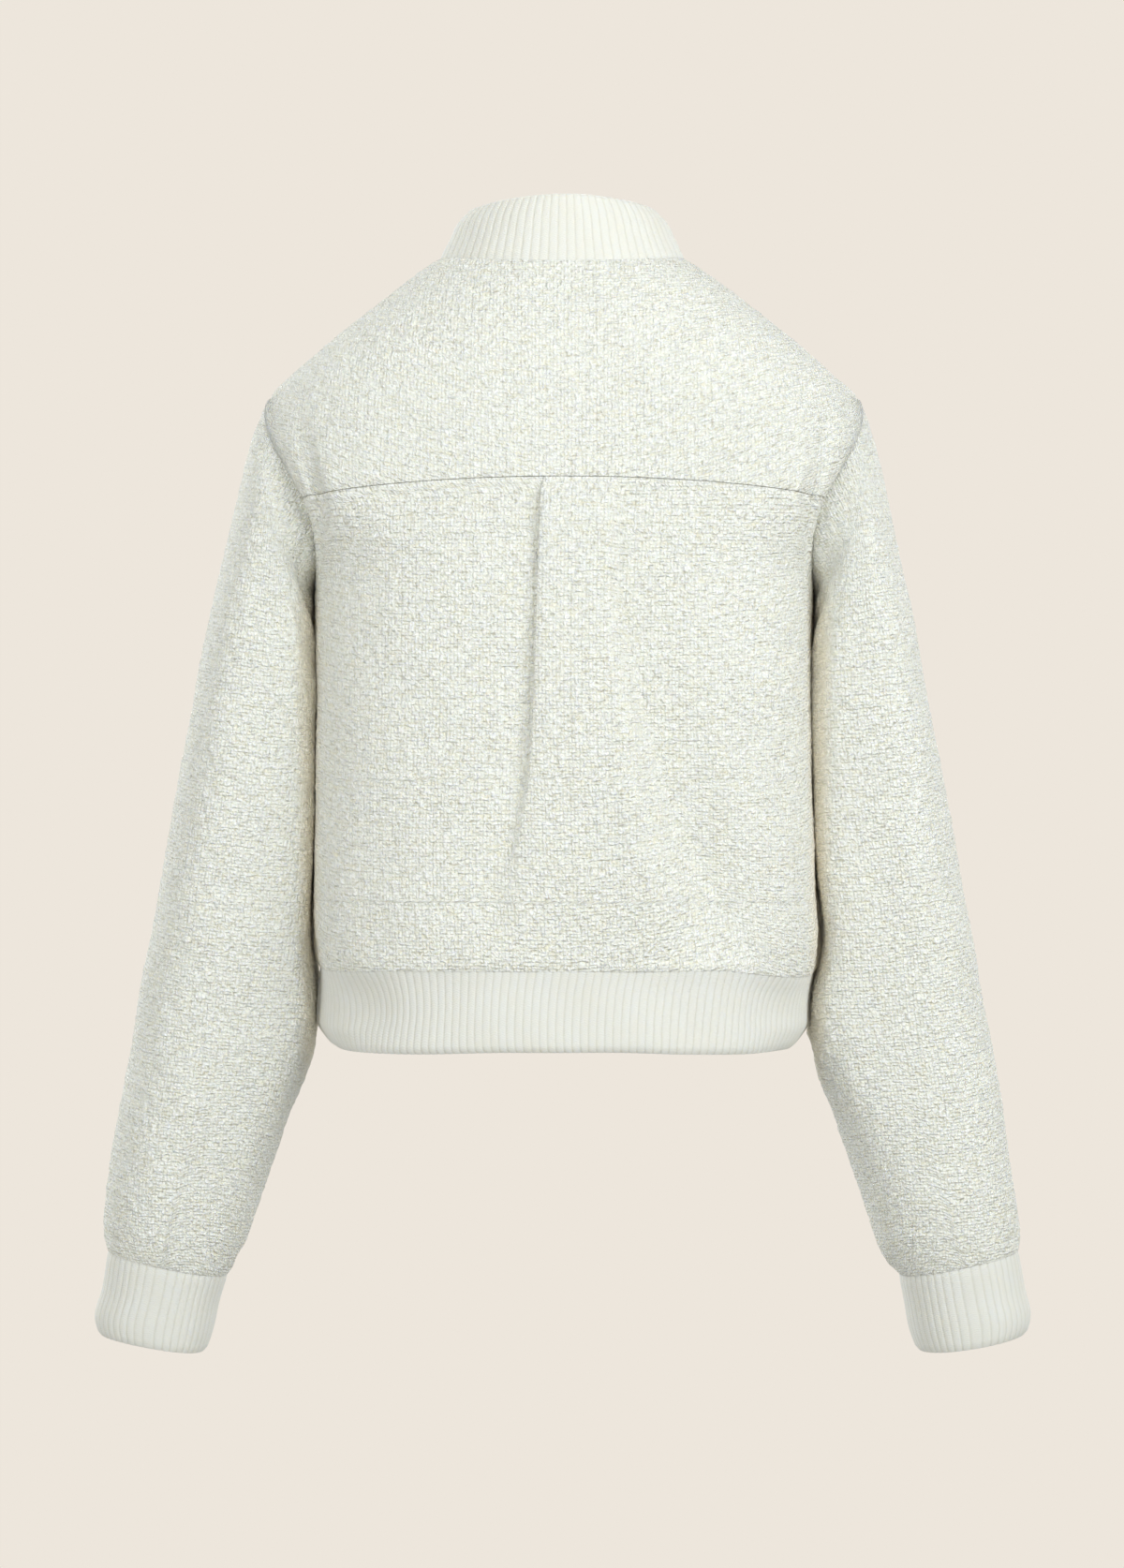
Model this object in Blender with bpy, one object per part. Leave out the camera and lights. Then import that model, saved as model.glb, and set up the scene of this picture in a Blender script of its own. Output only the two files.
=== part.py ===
"""Cropped bomber jacket, filled out as if worn, with no wearer inside.

The origin is the base of the wearer's neck. X runs to the wearer's left, -Y is the front and
+Z is up. Every cut piece is a cloth wall of its own, and neighbours stay a seam gap apart.
Tables and measures are in millimetres, and meshes are in metres.
"""
import math

import bmesh
import bpy
from mathutils import Matrix, Vector

MM = 0.001
CLOTH = 2.5             # wall of the boucle panels and of the doubled rib
SEAM = 0.3              # gap between two pieces that are sewn together
BACK, FRONT = 1, -1
LEFT, RIGHT = 1, -1

# Shoulder seam, from the neck to the armhole, and the armhole itself
SHOULDER_STEPS = 5
ARMHOLE_TOP = (194.0, -93.0)
ARMHOLE_BOTTOM = (163.0, -212.0)
ARMHOLE_HALF_DEPTH = 58.0
ARMHOLE_BOW = (-95.0, 157.0)    # bows in under the arm and out over the shoulder
ARMHOLE_STEPS = 9               # from the shoulder point to the armpit, on each half
YOKE_NOTCH = 5                  # the armhole step where the yoke seam ends

NECK_DIP_BACK = 8.0             # the back neck seam hangs this much lower at its middle
NECK_DROP_FRONT = 76.0
NECK_STEPS = 4
YOKE_ARCH = 11.0                # the yoke seam rises this much towards its middle

FRONT_EDGE = 5.0                # from the centre line to the edge of each front
TAPE_INNER = 3.3
TAPE_OUTER = 17.0
TAPE_WALL = 1.0
TAPE_DEPTH = 3.2                # from the face of the fronts back to the tape
CHAIN_HALF = 3.0
CHAIN_WALL = 2.4
CHAIN_SINK = 1.8                # the chain lies this far behind the face of the fronts
ZIP_TOP = -79.0
ZIP_BOTTOM = -509.0

BODY_COLUMNS = ("z", "left", "right", "back", "front", "round")
BODY = (
    (0.0, 82.0, 80.0, 46.0, 14.0, 2.0),
    (-18.6, 109.0, 108.0, 62.0, 40.0, 2.1),
    (-37.2, 132.0, 131.0, 74.0, 61.0, 2.15),
    (-55.8, 155.0, 153.5, 82.0, 77.0, 2.2),
    (-74.4, 178.0, 175.5, 88.0, 88.0, 2.3),
    (-93.0, 194.0, 194.0, 92.0, 94.0, 2.4),
    (-122.8, 190.0, 190.0, 98.0, 102.0, 2.6),
    (-162.8, 168.0, 168.0, 104.0, 110.0, 2.8),
    (-212.0, 163.0, 163.0, 107.5, 113.0, 2.9),
    (-240.0, 163.0, 163.0, 108.5, 113.5, 2.9),
    (-275.0, 162.5, 162.5, 108.5, 113.0, 2.9),
    (-310.0, 162.5, 162.5, 108.0, 111.5, 2.9),
    (-345.0, 163.0, 163.0, 107.0, 109.5, 2.9),
    (-380.0, 163.5, 164.0, 106.0, 107.5, 2.9),
    (-412.0, 163.5, 164.5, 105.5, 105.5, 2.9),
    (-436.0, 164.0, 167.0, 105.5, 104.5, 2.9),
    (-452.0, 164.0, 169.0, 105.5, 103.5, 2.9),
    (-462.0, 162.0, 167.5, 104.5, 102.0, 2.85),
    (-466.0, 159.5, 163.5, 102.5, 100.5, 2.8),
    (-480.0, 160.5, 162.0, 101.0, 99.5, 2.6),
    (-500.0, 161.5, 161.5, 100.5, 99.0, 2.5),
    (-514.0, 160.0, 160.0, 100.0, 98.5, 2.5),
    (-518.5, 156.5, 157.5, 98.5, 97.5, 2.5),
)
SIDE_SEAM_Z = (-240, -275, -310, -345, -380, -412, -436, -452, -462, -466)
HEM_BAND_Z = (-480, -500, -514, -518.5)

# The sides swell just ahead of the side seams, until they nearly meet the sleeves
SWELL_COLUMNS = ("z", "left", "right")
SWELL = (
    (-212.0, 0.0, 0.0),
    (-245.0, 3.5, 4.5),
    (-275.0, 4.2, 5.0),
    (-345.0, 4.0, 4.8),
    (-412.0, 3.8, 4.2),
    (-452.0, 3.0, 3.5),
    (-480.0, 2.5, 2.0),
    (-518.0, 2.0, 1.5),
)
SWELL_DEPTH = 6.0               # the swelling is widest this far ahead of the side seam
SWELL_REACH = 16.0

# One box pleat under the yoke seam: its folded edges part and fade out towards the hem
PLEAT_COLUMNS = ("z", "left", "right", "height", "left_soft", "right_soft")
PLEAT = (
    (-150.0, 11.3, -35.6, 0.0, 2.0, 2.0),
    (-164.0, 11.5, -35.6, 4.0, 2.0, 2.4),
    (-206.0, 13.0, -35.8, 5.0, 2.0, 4.0),
    (-260.0, 14.6, -36.5, 6.0, 3.0, 6.0),
    (-300.0, 16.0, -38.0, 6.6, 4.0, 9.0),
    (-345.0, 19.5, -45.0, 6.4, 7.0, 18.0),
    (-384.0, 24.0, -64.0, 5.0, 13.0, 32.0),
    (-426.0, 28.0, -84.0, 2.6, 21.0, 44.0),
    (-450.0, 30.0, -88.0, 0.7, 25.0, 48.0),
    (-466.0, 30.0, -90.0, 0.0, 25.0, 50.0),
)

# Trough beside the back armhole, where the yoke sinks between the body and the sleeve
TROUGH_COLUMNS = ("z", "across", "depth", "width")
TROUGH = (
    (-98.0, 0.90, 0.0, 0.08),
    (-122.0, 0.93, 4.0, 0.07),
    (-150.0, 0.955, 6.0, 0.06),
    (-168.0, 0.97, 4.0, 0.05),
    (-190.0, 0.97, 0.0, 0.05),
)

# Rings of a sleeve: the outer and inner ends of each ring, its middle depth and half depth
SLEEVE_COLUMNS = ("outer_left", "outer_right", "outer_z", "inner_left", "inner_right", "inner_z",
                  "middle_y", "half_depth")
SLEEVE = (
    (206.0, 204.0, -122.0, 166.0, 166.0, -221.0, 0.0, 65.0),
    (214.5, 213.0, -160.0, 167.5, 168.0, -231.0, -2.0, 70.0),
    (224.5, 221.0, -198.0, 167.5, 168.5, -248.0, -4.0, 72.0),
    (235.0, 232.0, -245.0, 168.0, 169.0, -278.0, -6.0, 72.0),
    (244.5, 240.5, -292.0, 168.4, 169.2, -318.0, -9.0, 70.0),
    (254.0, 251.0, -343.0, 168.6, 169.8, -362.0, -13.0, 68.0),
    (264.0, 260.5, -393.0, 169.0, 171.0, -405.0, -18.0, 66.0),
    (273.0, 270.0, -441.0, 168.0, 173.5, -449.0, -22.0, 63.0),
    (283.0, 278.5, -488.0, 164.0, 163.5, -497.0, -27.0, 60.0),
    (289.5, 286.5, -527.0, 172.0, 170.0, -537.0, -31.0, 57.0),
    (296.5, 292.5, -560.0, 186.0, 183.0, -572.0, -34.0, 54.0),
    (302.5, 297.5, -592.0, 197.0, 194.0, -603.0, -37.0, 50.0),
    (306.5, 302.5, -621.0, 207.5, 204.5, -634.0, -40.0, 46.0),
    (308.5, 305.5, -645.0, 218.0, 214.5, -661.0, -43.0, 42.0),
    (307.0, 306.0, -660.0, 226.5, 226.0, -677.0, -45.0, 38.0),
)
CUFF = (
    (307.0, 306.0, -660.0, 226.5, 226.0, -677.0, -45.0, 38.0),
    (310.5, 310.5, -684.0, 232.0, 229.5, -695.0, -48.0, 37.0),
    (316.0, 315.0, -708.0, 237.5, 234.5, -719.0, -51.0, 36.0),
    (313.0, 312.0, -718.0, 241.5, 239.0, -730.0, -52.0, 34.5),
)
SLEEVE_ROUND = 0.86             # under 1 makes a ring fuller than an ellipse

# The inner side of a sleeve leans forward, so that it lies in front of the widest side
LEAN_COLUMNS = ("z", "lean")
LEAN = (
    (-221.0, 0.0),
    (-248.0, 12.0),
    (-278.0, 18.0),
    (-497.0, 18.0),
    (-537.0, 14.0),
    (-634.0, 0.0),
)

# The stand collar leans in as it rises: share of its height, and share of its lean
COLLAR_RISE = ((0.0, 0.0), (0.36, 0.30), (0.76, 0.62), (1.0, 1.0))
COLLAR_HEIGHT = 33.0
COLLAR_EXTRA_BACK = 12.0
COLLAR_EXTRA_FRONT = 5.0
COLLAR_TOP_WIDTH = 0.755        # top over base, side to side
COLLAR_TOP_DEPTH = (0.846, 0.727)

SLIDER_Z = -88.0
SLIDER_LENGTH = 13.0
SLIDER_WIDTH = 9.0
SLIDER_PLATE = 1.2
SLIDER_POST = 4.0
CHAIN_CLEARANCE = 1.8           # the post leans with the front, and the chain is cut level
EAR_HEIGHT = 3.2
EAR_WALL = 0.9
PIN_RADIUS = 0.6
PIN_FROM_PLATE = 2.2
EYE_RADIUS = 1.9
EYE_WIDTH = 3.0
TAB_LENGTH = 24.0
TAB_WIDTH = 5.0
TAB_WALL = 1.2
ROUND_STEPS = 20

COLOURS = {
    "boucle": ((0.76, 0.79, 0.68, 1.0), 0.95, 0.0),
    "rib": ((0.80, 0.83, 0.76, 1.0), 0.9, 0.0),
    "tape": ((0.72, 0.73, 0.66, 1.0), 0.8, 0.0),
    "metal": ((0.62, 0.60, 0.55, 1.0), 0.3, 1.0),
}


# ---------------------------------------------------------------- tables and curves
def read(table, columns, name, z):
    """Read one column of a table at height z, straight between its rows."""
    column = columns.index(name)
    if z >= table[0][0]:
        return table[0][column]
    for above, below in zip(table, table[1:]):
        if z >= below[0]:
            share = (above[0] - z) / (above[0] - below[0])
            return above[column] + (below[column] - above[column]) * share
    return table[-1][column]


def body(name, z):
    return read(BODY, BODY_COLUMNS, name, z)


def mix(start, end, share):
    return start + (end - start) * share


def smooth(share):
    share = min(max(share, 0.0), 1.0)
    return share * share * (3.0 - 2.0 * share)


def armhole_point(side, half, angle):
    """A point of the armhole: angle 0 is the shoulder point and 180 degrees the armpit."""
    share = (1.0 + math.cos(angle)) / 2.0
    bow = share * (1.0 - share) * (ARMHOLE_BOW[0] + ARMHOLE_BOW[1] * share)
    x = mix(ARMHOLE_BOTTOM[0], ARMHOLE_TOP[0], share) + bow
    y = ARMHOLE_HALF_DEPTH * max(math.sin(angle), 0.0) ** 0.85
    z = mix(ARMHOLE_BOTTOM[1], ARMHOLE_TOP[1], share)
    return Vector((side * x, half * y, z))


def armhole_normal(side, half, angle):
    """The direction out of the cloth at the armhole seam, shared by body and sleeve."""
    return Vector((side * 0.8, half * math.sin(angle), math.cos(angle))).normalized()


def armhole_seam(side, half, angle, gap):
    """The armhole moved from the body (-) or towards the sleeve (+), within the cloth."""
    normal = armhole_normal(side, half, angle)
    out = Vector((side, 0.0, 0.0))
    across = (out - normal * out.dot(normal)).normalized()
    return armhole_point(side, half, angle) + across * gap


def armhole_angle(z):
    share = (z - ARMHOLE_BOTTOM[1]) / (ARMHOLE_TOP[1] - ARMHOLE_BOTTOM[1])
    return math.acos(min(max(2.0 * share - 1.0, -1.0), 1.0))


def swell(side, y, z):
    """How far the side stands out at depth y."""
    away = (y + SWELL_DEPTH) / SWELL_REACH
    most = read(SWELL, SWELL_COLUMNS, "left" if side == LEFT else "right", z)
    return most * math.exp(-away * away)


def edge_point(side, half, z):
    """The outermost point of the back or front at height z: shoulder, armhole or side seam."""
    if ARMHOLE_BOTTOM[1] < z < ARMHOLE_TOP[1]:
        return armhole_point(side, half, armhole_angle(z))
    width = body("left" if side == LEFT else "right", z)
    return Vector((side * (width + swell(side, 0.0, z)), 0.0, z))


def edge_normal(side, z):
    """The direction out of the cloth along the shoulder and side seams."""
    name = "left" if side == LEFT else "right"
    step = 6.0
    slope = (body(name, z + step) - body(name, z - step)) / (2.0 * step)
    if z > ARMHOLE_BOTTOM[1]:
        slope = (body(name, -step) - body(name, ARMHOLE_TOP[1])) / (ARMHOLE_TOP[1] + step)
        slope = -abs(slope)
    return Vector((side, 0.0, -slope)).normalized()


def body_point(half, across, z):
    """A point of the back or front: across runs from -1, the right edge, to 1, the left edge."""
    side = LEFT if across >= 0.0 else RIGHT
    edge = edge_point(side, half, z)
    roundness = body("round", z)
    depth = half * body("back" if half == BACK else "front", z)
    crown = max(1.0 - min(abs(across), 1.0) ** roundness, 0.0) ** (1.0 / roundness)
    y = mix(edge.y, depth, crown)
    plain = abs(edge.x) - swell(side, 0.0, z)
    return Vector((side * swell(side, y, z) + plain * across, y, z))


def trough_depth(across, z):
    centre = read(TROUGH, TROUGH_COLUMNS, "across", z)
    width = read(TROUGH, TROUGH_COLUMNS, "width", z)
    depth = read(TROUGH, TROUGH_COLUMNS, "depth", z)
    return depth * smooth(1.0 - abs(abs(across) - centre) / width)


def back_point(across, z):
    return body_point(BACK, across, z) - Vector((0.0, trough_depth(across, z), 0.0))


def front_point(across, z):
    return body_point(FRONT, across, z)


def pleat(name, z):
    return read(PLEAT, PLEAT_COLUMNS, name, z)


def pleat_height(x, z):
    """How far the pleat stands out of the back at x."""
    from_left = smooth((pleat("left", z) + pleat("left_soft", z) - x) / pleat("left_soft", z))
    from_right = smooth((x - pleat("right", z) + pleat("right_soft", z)) / pleat("right_soft", z))
    return pleat("height", z) * from_left * from_right


# ---------------------------------------------------------------- cloth walls
def grid_normals(grid, centres, closed):
    """Directions out of the cloth at each point of a grid, away from each row's centre."""
    rows = len(grid)
    columns = len(grid[0])
    normals = []
    for i in range(rows):
        line = []
        for j in range(columns):
            up = grid[max(i - 1, 0)][j] - grid[min(i + 1, rows - 1)][j]
            if closed:
                along = grid[i][(j + 1) % columns] - grid[i][j - 1]
            else:
                along = grid[i][min(j + 1, columns - 1)] - grid[i][max(j - 1, 0)]
            normal = up.cross(along).normalized()
            if normal.dot(grid[i][j] - centres[i]) < 0.0:
                normal.negate()
            line.append(normal)
        normals.append(line)
    return normals


def add_faces(bm, outer, inner, closed):
    """Skin both faces of a wall, and return the rims that it makes between them."""
    rows = len(outer)
    columns = len(outer[0])
    last = columns if closed else columns - 1
    rims = []
    for i in range(rows - 1):
        for j in range(last):
            k = (j + 1) % columns
            bm.faces.new((outer[i][j], outer[i][k], outer[i + 1][k], outer[i + 1][j]))
            bm.faces.new((inner[i][j], inner[i + 1][j], inner[i + 1][k], inner[i][k]))
    for j in range(last):
        k = (j + 1) % columns
        rims.append(bm.faces.new((outer[0][k], outer[0][j], inner[0][j], inner[0][k])))
        rims.append(bm.faces.new((outer[-1][j], outer[-1][k], inner[-1][k], inner[-1][j])))
    if not closed:
        for i in range(rows - 1):
            k = i + 1
            rims.append(bm.faces.new((outer[i][0], outer[k][0], inner[k][0], inner[i][0])))
            rims.append(bm.faces.new((outer[k][-1], outer[i][-1], inner[i][-1], inner[k][-1])))
    return rims


def cloth_wall(name, grid, normals, closed=False, wall=CLOTH, finish="boucle"):
    """One cut piece: its outer face is the grid, and its inner face lies a wall inside it."""
    bm = bmesh.new()
    outer = [[bm.verts.new(point * MM) for point in line] for line in grid]
    inner = [[bm.verts.new((point - normal * wall) * MM) for point, normal in zip(*lines)]
             for lines in zip(grid, normals)]
    rims = add_faces(bm, outer, inner, closed)
    bmesh.ops.poke(bm, faces=rims)
    bmesh.ops.recalc_face_normals(bm, faces=bm.faces)
    return finish_object(name, bm, finish)


def finish_object(name, bm, finish):
    mesh = bpy.data.meshes.new(name)
    bm.to_mesh(mesh)
    bm.free()
    mesh.materials.append(material(finish))
    piece = bpy.data.objects.new(name, mesh)
    collection.objects.link(piece)
    return piece


def material(name):
    made = bpy.data.materials.get(name)
    if made is None:
        colour, roughness, metallic = COLOURS[name]
        made = bpy.data.materials.new(name)
        made.use_nodes = True
        shader = made.node_tree.nodes["Principled BSDF"]
        shader.inputs["Base Color"].default_value = colour
        shader.inputs["Roughness"].default_value = roughness
        shader.inputs["Metallic"].default_value = metallic
    return made


# ---------------------------------------------------------------- back yoke and back panel
def armhole_angles(first, last):
    return [math.pi * step / ARMHOLE_STEPS for step in range(first, last + 1)]


def armhole_z(angle):
    return armhole_point(LEFT, BACK, angle).z


def back_grid(edge_heights, lifts, columns_of, seam_top, seam_bottom):
    """Rows of the back between its two edges, each row lifted or sagging at its middle."""
    grid = []
    normals = []
    for i, (edge_z, lift) in enumerate(zip(edge_heights, lifts)):
        line = []
        outs = []
        for across in columns_of(edge_z):
            z = edge_z + lift * (1.0 - across * across)
            line.append(back_surface(across, z))
            outs.append(back_normal(across, z))
        for end, side in ((-1, LEFT), (0, RIGHT)):
            set_body_edge(line, outs, end, side, BACK, edge_z)
        if i == 0:
            line = [point - Vector((0.0, 0.0, seam_top)) for point in line]
        if i == len(edge_heights) - 1:
            line = [point + Vector((0.0, 0.0, seam_bottom)) for point in line]
        grid.append(line)
        normals.append(outs)
    return grid, normals


def back_surface(across, z):
    point = back_point(across, z)
    point.y += pleat_height(point.x, z)
    return point


def back_normal(across, z):
    """The direction out of the smooth back, without its pleat."""
    step = 0.02
    low = max(across - step, -1.0)
    high = min(across + step, 1.0)
    along = back_point(high, z) - back_point(low, z)
    up = back_point(across, z + 3.0) - back_point(across, z - 3.0)
    normal = up.cross(along).normalized()
    if normal.y < 0.0:
        normal.negate()
    return normal


def set_body_edge(line, outs, end, side, half, edge_z):
    """Give the end of a row its place and direction at the shoulder, armhole or side seam."""
    if ARMHOLE_BOTTOM[1] <= edge_z <= ARMHOLE_TOP[1]:
        angle = armhole_angle(edge_z)
        line[end] = armhole_seam(side, half, angle, -SEAM / 2.0)
        outs[end] = armhole_normal(side, half, angle)
    else:
        line[end] = edge_point(side, half, edge_z)
        outs[end] = edge_normal(side, edge_z)
    line[end].y += half * SEAM / 2.0


def even_columns(count):
    """Columns that crowd towards both edges, where the cloth turns."""
    return [math.sin(math.pi * (j / count - 0.5)) for j in range(count + 1)]


def pleat_columns(edge_z):
    """Columns from the right edge to the left, with pairs of them on the pleat's folds."""
    width = edge_point(LEFT, BACK, edge_z).x
    right = pleat("right", edge_z)
    left = pleat("left", edge_z)
    folds = [right - pleat("right_soft", edge_z), right, mix(right, left, 0.34),
             mix(right, left, 0.67), left, left + pleat("left_soft", edge_z)]
    start = math.asin(folds[0] / width)
    finish = math.asin(folds[-1] / width)
    outer = [math.sin(mix(-math.pi / 2.0, start, j / 9.0)) for j in range(9)]
    inner = [math.sin(mix(finish, math.pi / 2.0, j / 9.0)) for j in range(1, 10)]
    return outer + [fold / width for fold in folds] + inner


def shoulder_heights():
    return [ARMHOLE_TOP[1] * step / SHOULDER_STEPS for step in range(SHOULDER_STEPS + 1)]


def yoke_rows():
    edges = shoulder_heights() + [armhole_z(a) for a in armhole_angles(1, YOKE_NOTCH)]
    lifts = [mix(-NECK_DIP_BACK, YOKE_ARCH, smooth(z / edges[-1])) for z in edges]
    return edges, lifts


def make_back_yoke():
    edges, lifts = yoke_rows()
    grid, normals = back_grid(edges, lifts, lambda z: even_columns(22), 0.0, SEAM / 2.0)
    normals[0] = [neck_normal(point) for point in grid[0]]
    return cloth_wall("back_yoke", grid, normals)


def make_back_panel():
    edges = [armhole_z(a) for a in armhole_angles(YOKE_NOTCH, ARMHOLE_STEPS)] + list(SIDE_SEAM_Z)
    lifts = [YOKE_ARCH * (1.0 - smooth((z - edges[0]) / (edges[9] - edges[0]))) for z in edges]
    grid, normals = back_grid(edges, lifts, pleat_columns, SEAM / 2.0, 0.0)
    normals[-1] = [level_normal(point) for point in grid[-1]]
    return cloth_wall("back_panel", grid, normals)


def neck_normal(point):
    """The direction out of the cloth at the neck seam."""
    return Vector((point.x / 100.0, point.y / 90.0, 0.5)).normalized()


def level_normal(point):
    """The level direction out of the cloth at the hem seam."""
    return Vector((point.x / 160.0, (point.y / 100.0) ** 3, 0.0)).normalized()


# ---------------------------------------------------------------- fronts
def front_neck(step):
    """The front neckline, from the shoulder (0) to the centre front, as a share and a height."""
    turn = math.pi / 2.0 * step / NECK_STEPS
    x = mix(FRONT_EDGE, body("left", 0.0), math.cos(turn))
    z = -NECK_DROP_FRONT * math.sin(turn) ** 1.4
    return x / body("left", z), z


def front_rows():
    """For each row of a front: its inner share and height, and its height at the outer edge."""
    rows = []
    for step in range(ARMHOLE_STEPS + 1):
        edge_z = armhole_z(math.pi * step / ARMHOLE_STEPS)
        if step <= NECK_STEPS:
            share, z = front_neck(step)
        else:
            fall = (step - NECK_STEPS) / (ARMHOLE_STEPS - NECK_STEPS)
            z = mix(-NECK_DROP_FRONT, ARMHOLE_BOTTOM[1], fall)
            share = FRONT_EDGE / body("left", z)
        rows.append((share, z, edge_z))
    for z in SIDE_SEAM_Z:
        rows.append((FRONT_EDGE / body("left", z), float(z), float(z)))
    return rows


def front_normal(across, z):
    step = 0.02
    along = front_point(min(across + step, 1.0), z) - front_point(across - step, z)
    up = front_point(across, z + 3.0) - front_point(across, z - 3.0)
    normal = up.cross(along).normalized()
    if normal.y > 0.0:
        normal.negate()
    return normal


def make_front(side):
    columns = 2 * SHOULDER_STEPS
    grid = []
    normals = []
    for i, (inner_share, inner_z, edge_z) in enumerate(front_rows()):
        line = []
        outs = []
        for j in range(columns + 1):
            spread = j / columns if i == 0 else math.sin(math.pi / 2.0 * j / columns)
            share = 1.0 - (1.0 - inner_share) * (1.0 - spread)
            z = mix(inner_z, edge_z, spread)
            if i == 0:
                point = edge_point(side, FRONT, z)
                point.y -= SEAM / 2.0
                line.append(point)
                outs.append(edge_normal(side, z))
            else:
                line.append(front_point(side * share, z))
                outs.append(front_normal(side * share, z))
        if i <= NECK_STEPS:
            outs[0] = neck_normal(line[0])
        if i > 0:
            set_body_edge(line, outs, -1, side, FRONT, edge_z)
        else:
            line[-1] = armhole_seam(side, FRONT, 0.0, -SEAM / 2.0)
            line[-1].y -= SEAM / 2.0
            outs[-1] = armhole_normal(side, FRONT, 0.0)
        grid.append(line)
        normals.append(outs)
    normals[-1] = [level_normal(point) for point in grid[-1]]
    if side == RIGHT:
        grid = [line[::-1] for line in grid]
        normals = [line[::-1] for line in normals]
    return cloth_wall("front_left" if side == LEFT else "front_right", grid, normals)


# ---------------------------------------------------------------- sleeves and cuffs
def ring(row, side, count):
    """A ring of a sleeve: it starts at the outer end, goes round the back, and comes round."""
    values = dict(zip(SLEEVE_COLUMNS, row))
    word = "left" if side == LEFT else "right"
    outer = Vector((side * values["outer_" + word], values["middle_y"], values["outer_z"]))
    inner = Vector((side * values["inner_" + word], values["middle_y"], values["inner_z"]))
    inner.y -= read(LEAN, LEAN_COLUMNS, "lean", inner.z)
    middle = (outer + inner) / 2.0
    points = []
    for step in range(count):
        angle = 2.0 * math.pi * step / count
        across = math.copysign(abs(math.cos(angle)) ** SLEEVE_ROUND, math.cos(angle))
        deep = math.copysign(abs(math.sin(angle)) ** SLEEVE_ROUND, math.sin(angle))
        depth = Vector((0.0, values["half_depth"] * deep, 0.0))
        points.append(middle + (outer - middle) * across + depth)
    return middle, points


def armhole_ring(side):
    """The sleeve's first ring, on the sleeve's side of the armhole seam."""
    points = []
    normals = []
    for step in range(2 * ARMHOLE_STEPS):
        half = BACK if step <= ARMHOLE_STEPS else FRONT
        turn = step if half == BACK else 2 * ARMHOLE_STEPS - step
        angle = math.pi * turn / ARMHOLE_STEPS
        points.append(armhole_seam(side, half, angle, SEAM / 2.0))
        normals.append(armhole_normal(side, half, angle))
    return points, normals


def make_sleeve(side):
    first, first_normals = armhole_ring(side)
    centres = [Vector((side * 178.0, 0.0, -152.0))]
    grid = [first]
    for row in SLEEVE:
        middle, points = ring(row, side, 2 * ARMHOLE_STEPS)
        centres.append(middle)
        grid.append(points)
    normals = grid_normals(grid, centres, closed=True)
    normals[0] = first_normals
    normals[-1] = spread_normals(grid[-1], centres[-1])
    name = "sleeve_left" if side == LEFT else "sleeve_right"
    return cloth_wall(name, grid, normals, closed=True)


def spread_normals(points, centre):
    return [(point - centre).normalized() for point in points]


def make_cuff(side):
    grid = []
    centres = []
    for row in CUFF:
        middle, points = ring(row, side, 2 * ARMHOLE_STEPS)
        centres.append(middle)
        grid.append(points)
    down = (centres[1] - centres[0]).normalized() * SEAM
    grid[0] = [point + down for point in grid[0]]
    normals = grid_normals(grid, centres, closed=True)
    normals[0] = spread_normals(grid[0], centres[0] + down)
    name = "cuff_left" if side == LEFT else "cuff_right"
    return cloth_wall(name, grid, normals, closed=True, finish="rib")


# ---------------------------------------------------------------- collar and hem band
def neck_seam():
    """The neck seam from the left centre front, round the back, to the right centre front."""
    places = [front_neck(step) for step in range(NECK_STEPS, 0, -1)]
    left = [front_point(share, z) for share, z in places]
    right = [front_point(-share, z) for share, z in reversed(places)]
    edges, lifts = yoke_rows()
    back = [back_point(share, edges[0] + lifts[0] * (1.0 - share * share))
            for share in reversed(even_columns(22))]
    return left + back + right


def collar_top(base):
    backness = max(base.y, 0.0) / 53.0
    frontness = max(-base.y, 0.0) / 88.0
    lean = COLLAR_TOP_DEPTH[0] if base.y > 0.0 else COLLAR_TOP_DEPTH[1]
    rise = COLLAR_HEIGHT + COLLAR_EXTRA_BACK * backness ** 2 + COLLAR_EXTRA_FRONT * frontness ** 2
    width = mix(COLLAR_TOP_WIDTH, 1.0, smooth(frontness * 4.0 - 3.0))
    return Vector((base.x * width, base.y * lean - 2.0 * (1.0 - backness), base.z + rise))


def collar_base(seam):
    """The neck seam moved a seam gap towards the collar, within the cloth."""
    moved = []
    for k, point in enumerate(seam):
        along = seam[min(k + 1, len(seam) - 1)] - seam[max(k - 1, 0)]
        moved.append(point + neck_normal(point).cross(along).normalized() * SEAM)
    return moved


def make_collar():
    seam = neck_seam()
    grid = []
    for rise, lean in COLLAR_RISE:
        line = []
        for base, start in zip(collar_base(seam), seam):
            top = collar_top(start)
            point = Vector((mix(base.x, top.x, lean), mix(base.y, top.y, lean),
                            mix(base.z, top.z, rise)))
            line.append(point)
        grid.append(line)
    grid.reverse()
    centres = [Vector((0.0, -10.0, 0.0)) for line in grid]
    normals = grid_normals(grid, centres, closed=False)
    normals[-1] = [neck_normal(point) for point in grid[-1]]
    return cloth_wall("collar", grid, normals, finish="rib")


def hem_line(z, count):
    """A level row of the body from the left centre front, round the back, to the right."""
    columns = [math.sin(math.pi / 2.0 * j / count) for j in range(count + 1)]
    edge = FRONT_EDGE / body("left", z)
    front = [1.0 - (1.0 - edge) * (1.0 - share) for share in columns]
    left = [front_point(share, z) for share in front]
    back = [back_point(share, z) for share in reversed(even_columns(2 * count))]
    right = [front_point(-share, z) for share in reversed(front)]
    return left + back[1:-1] + right


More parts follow.
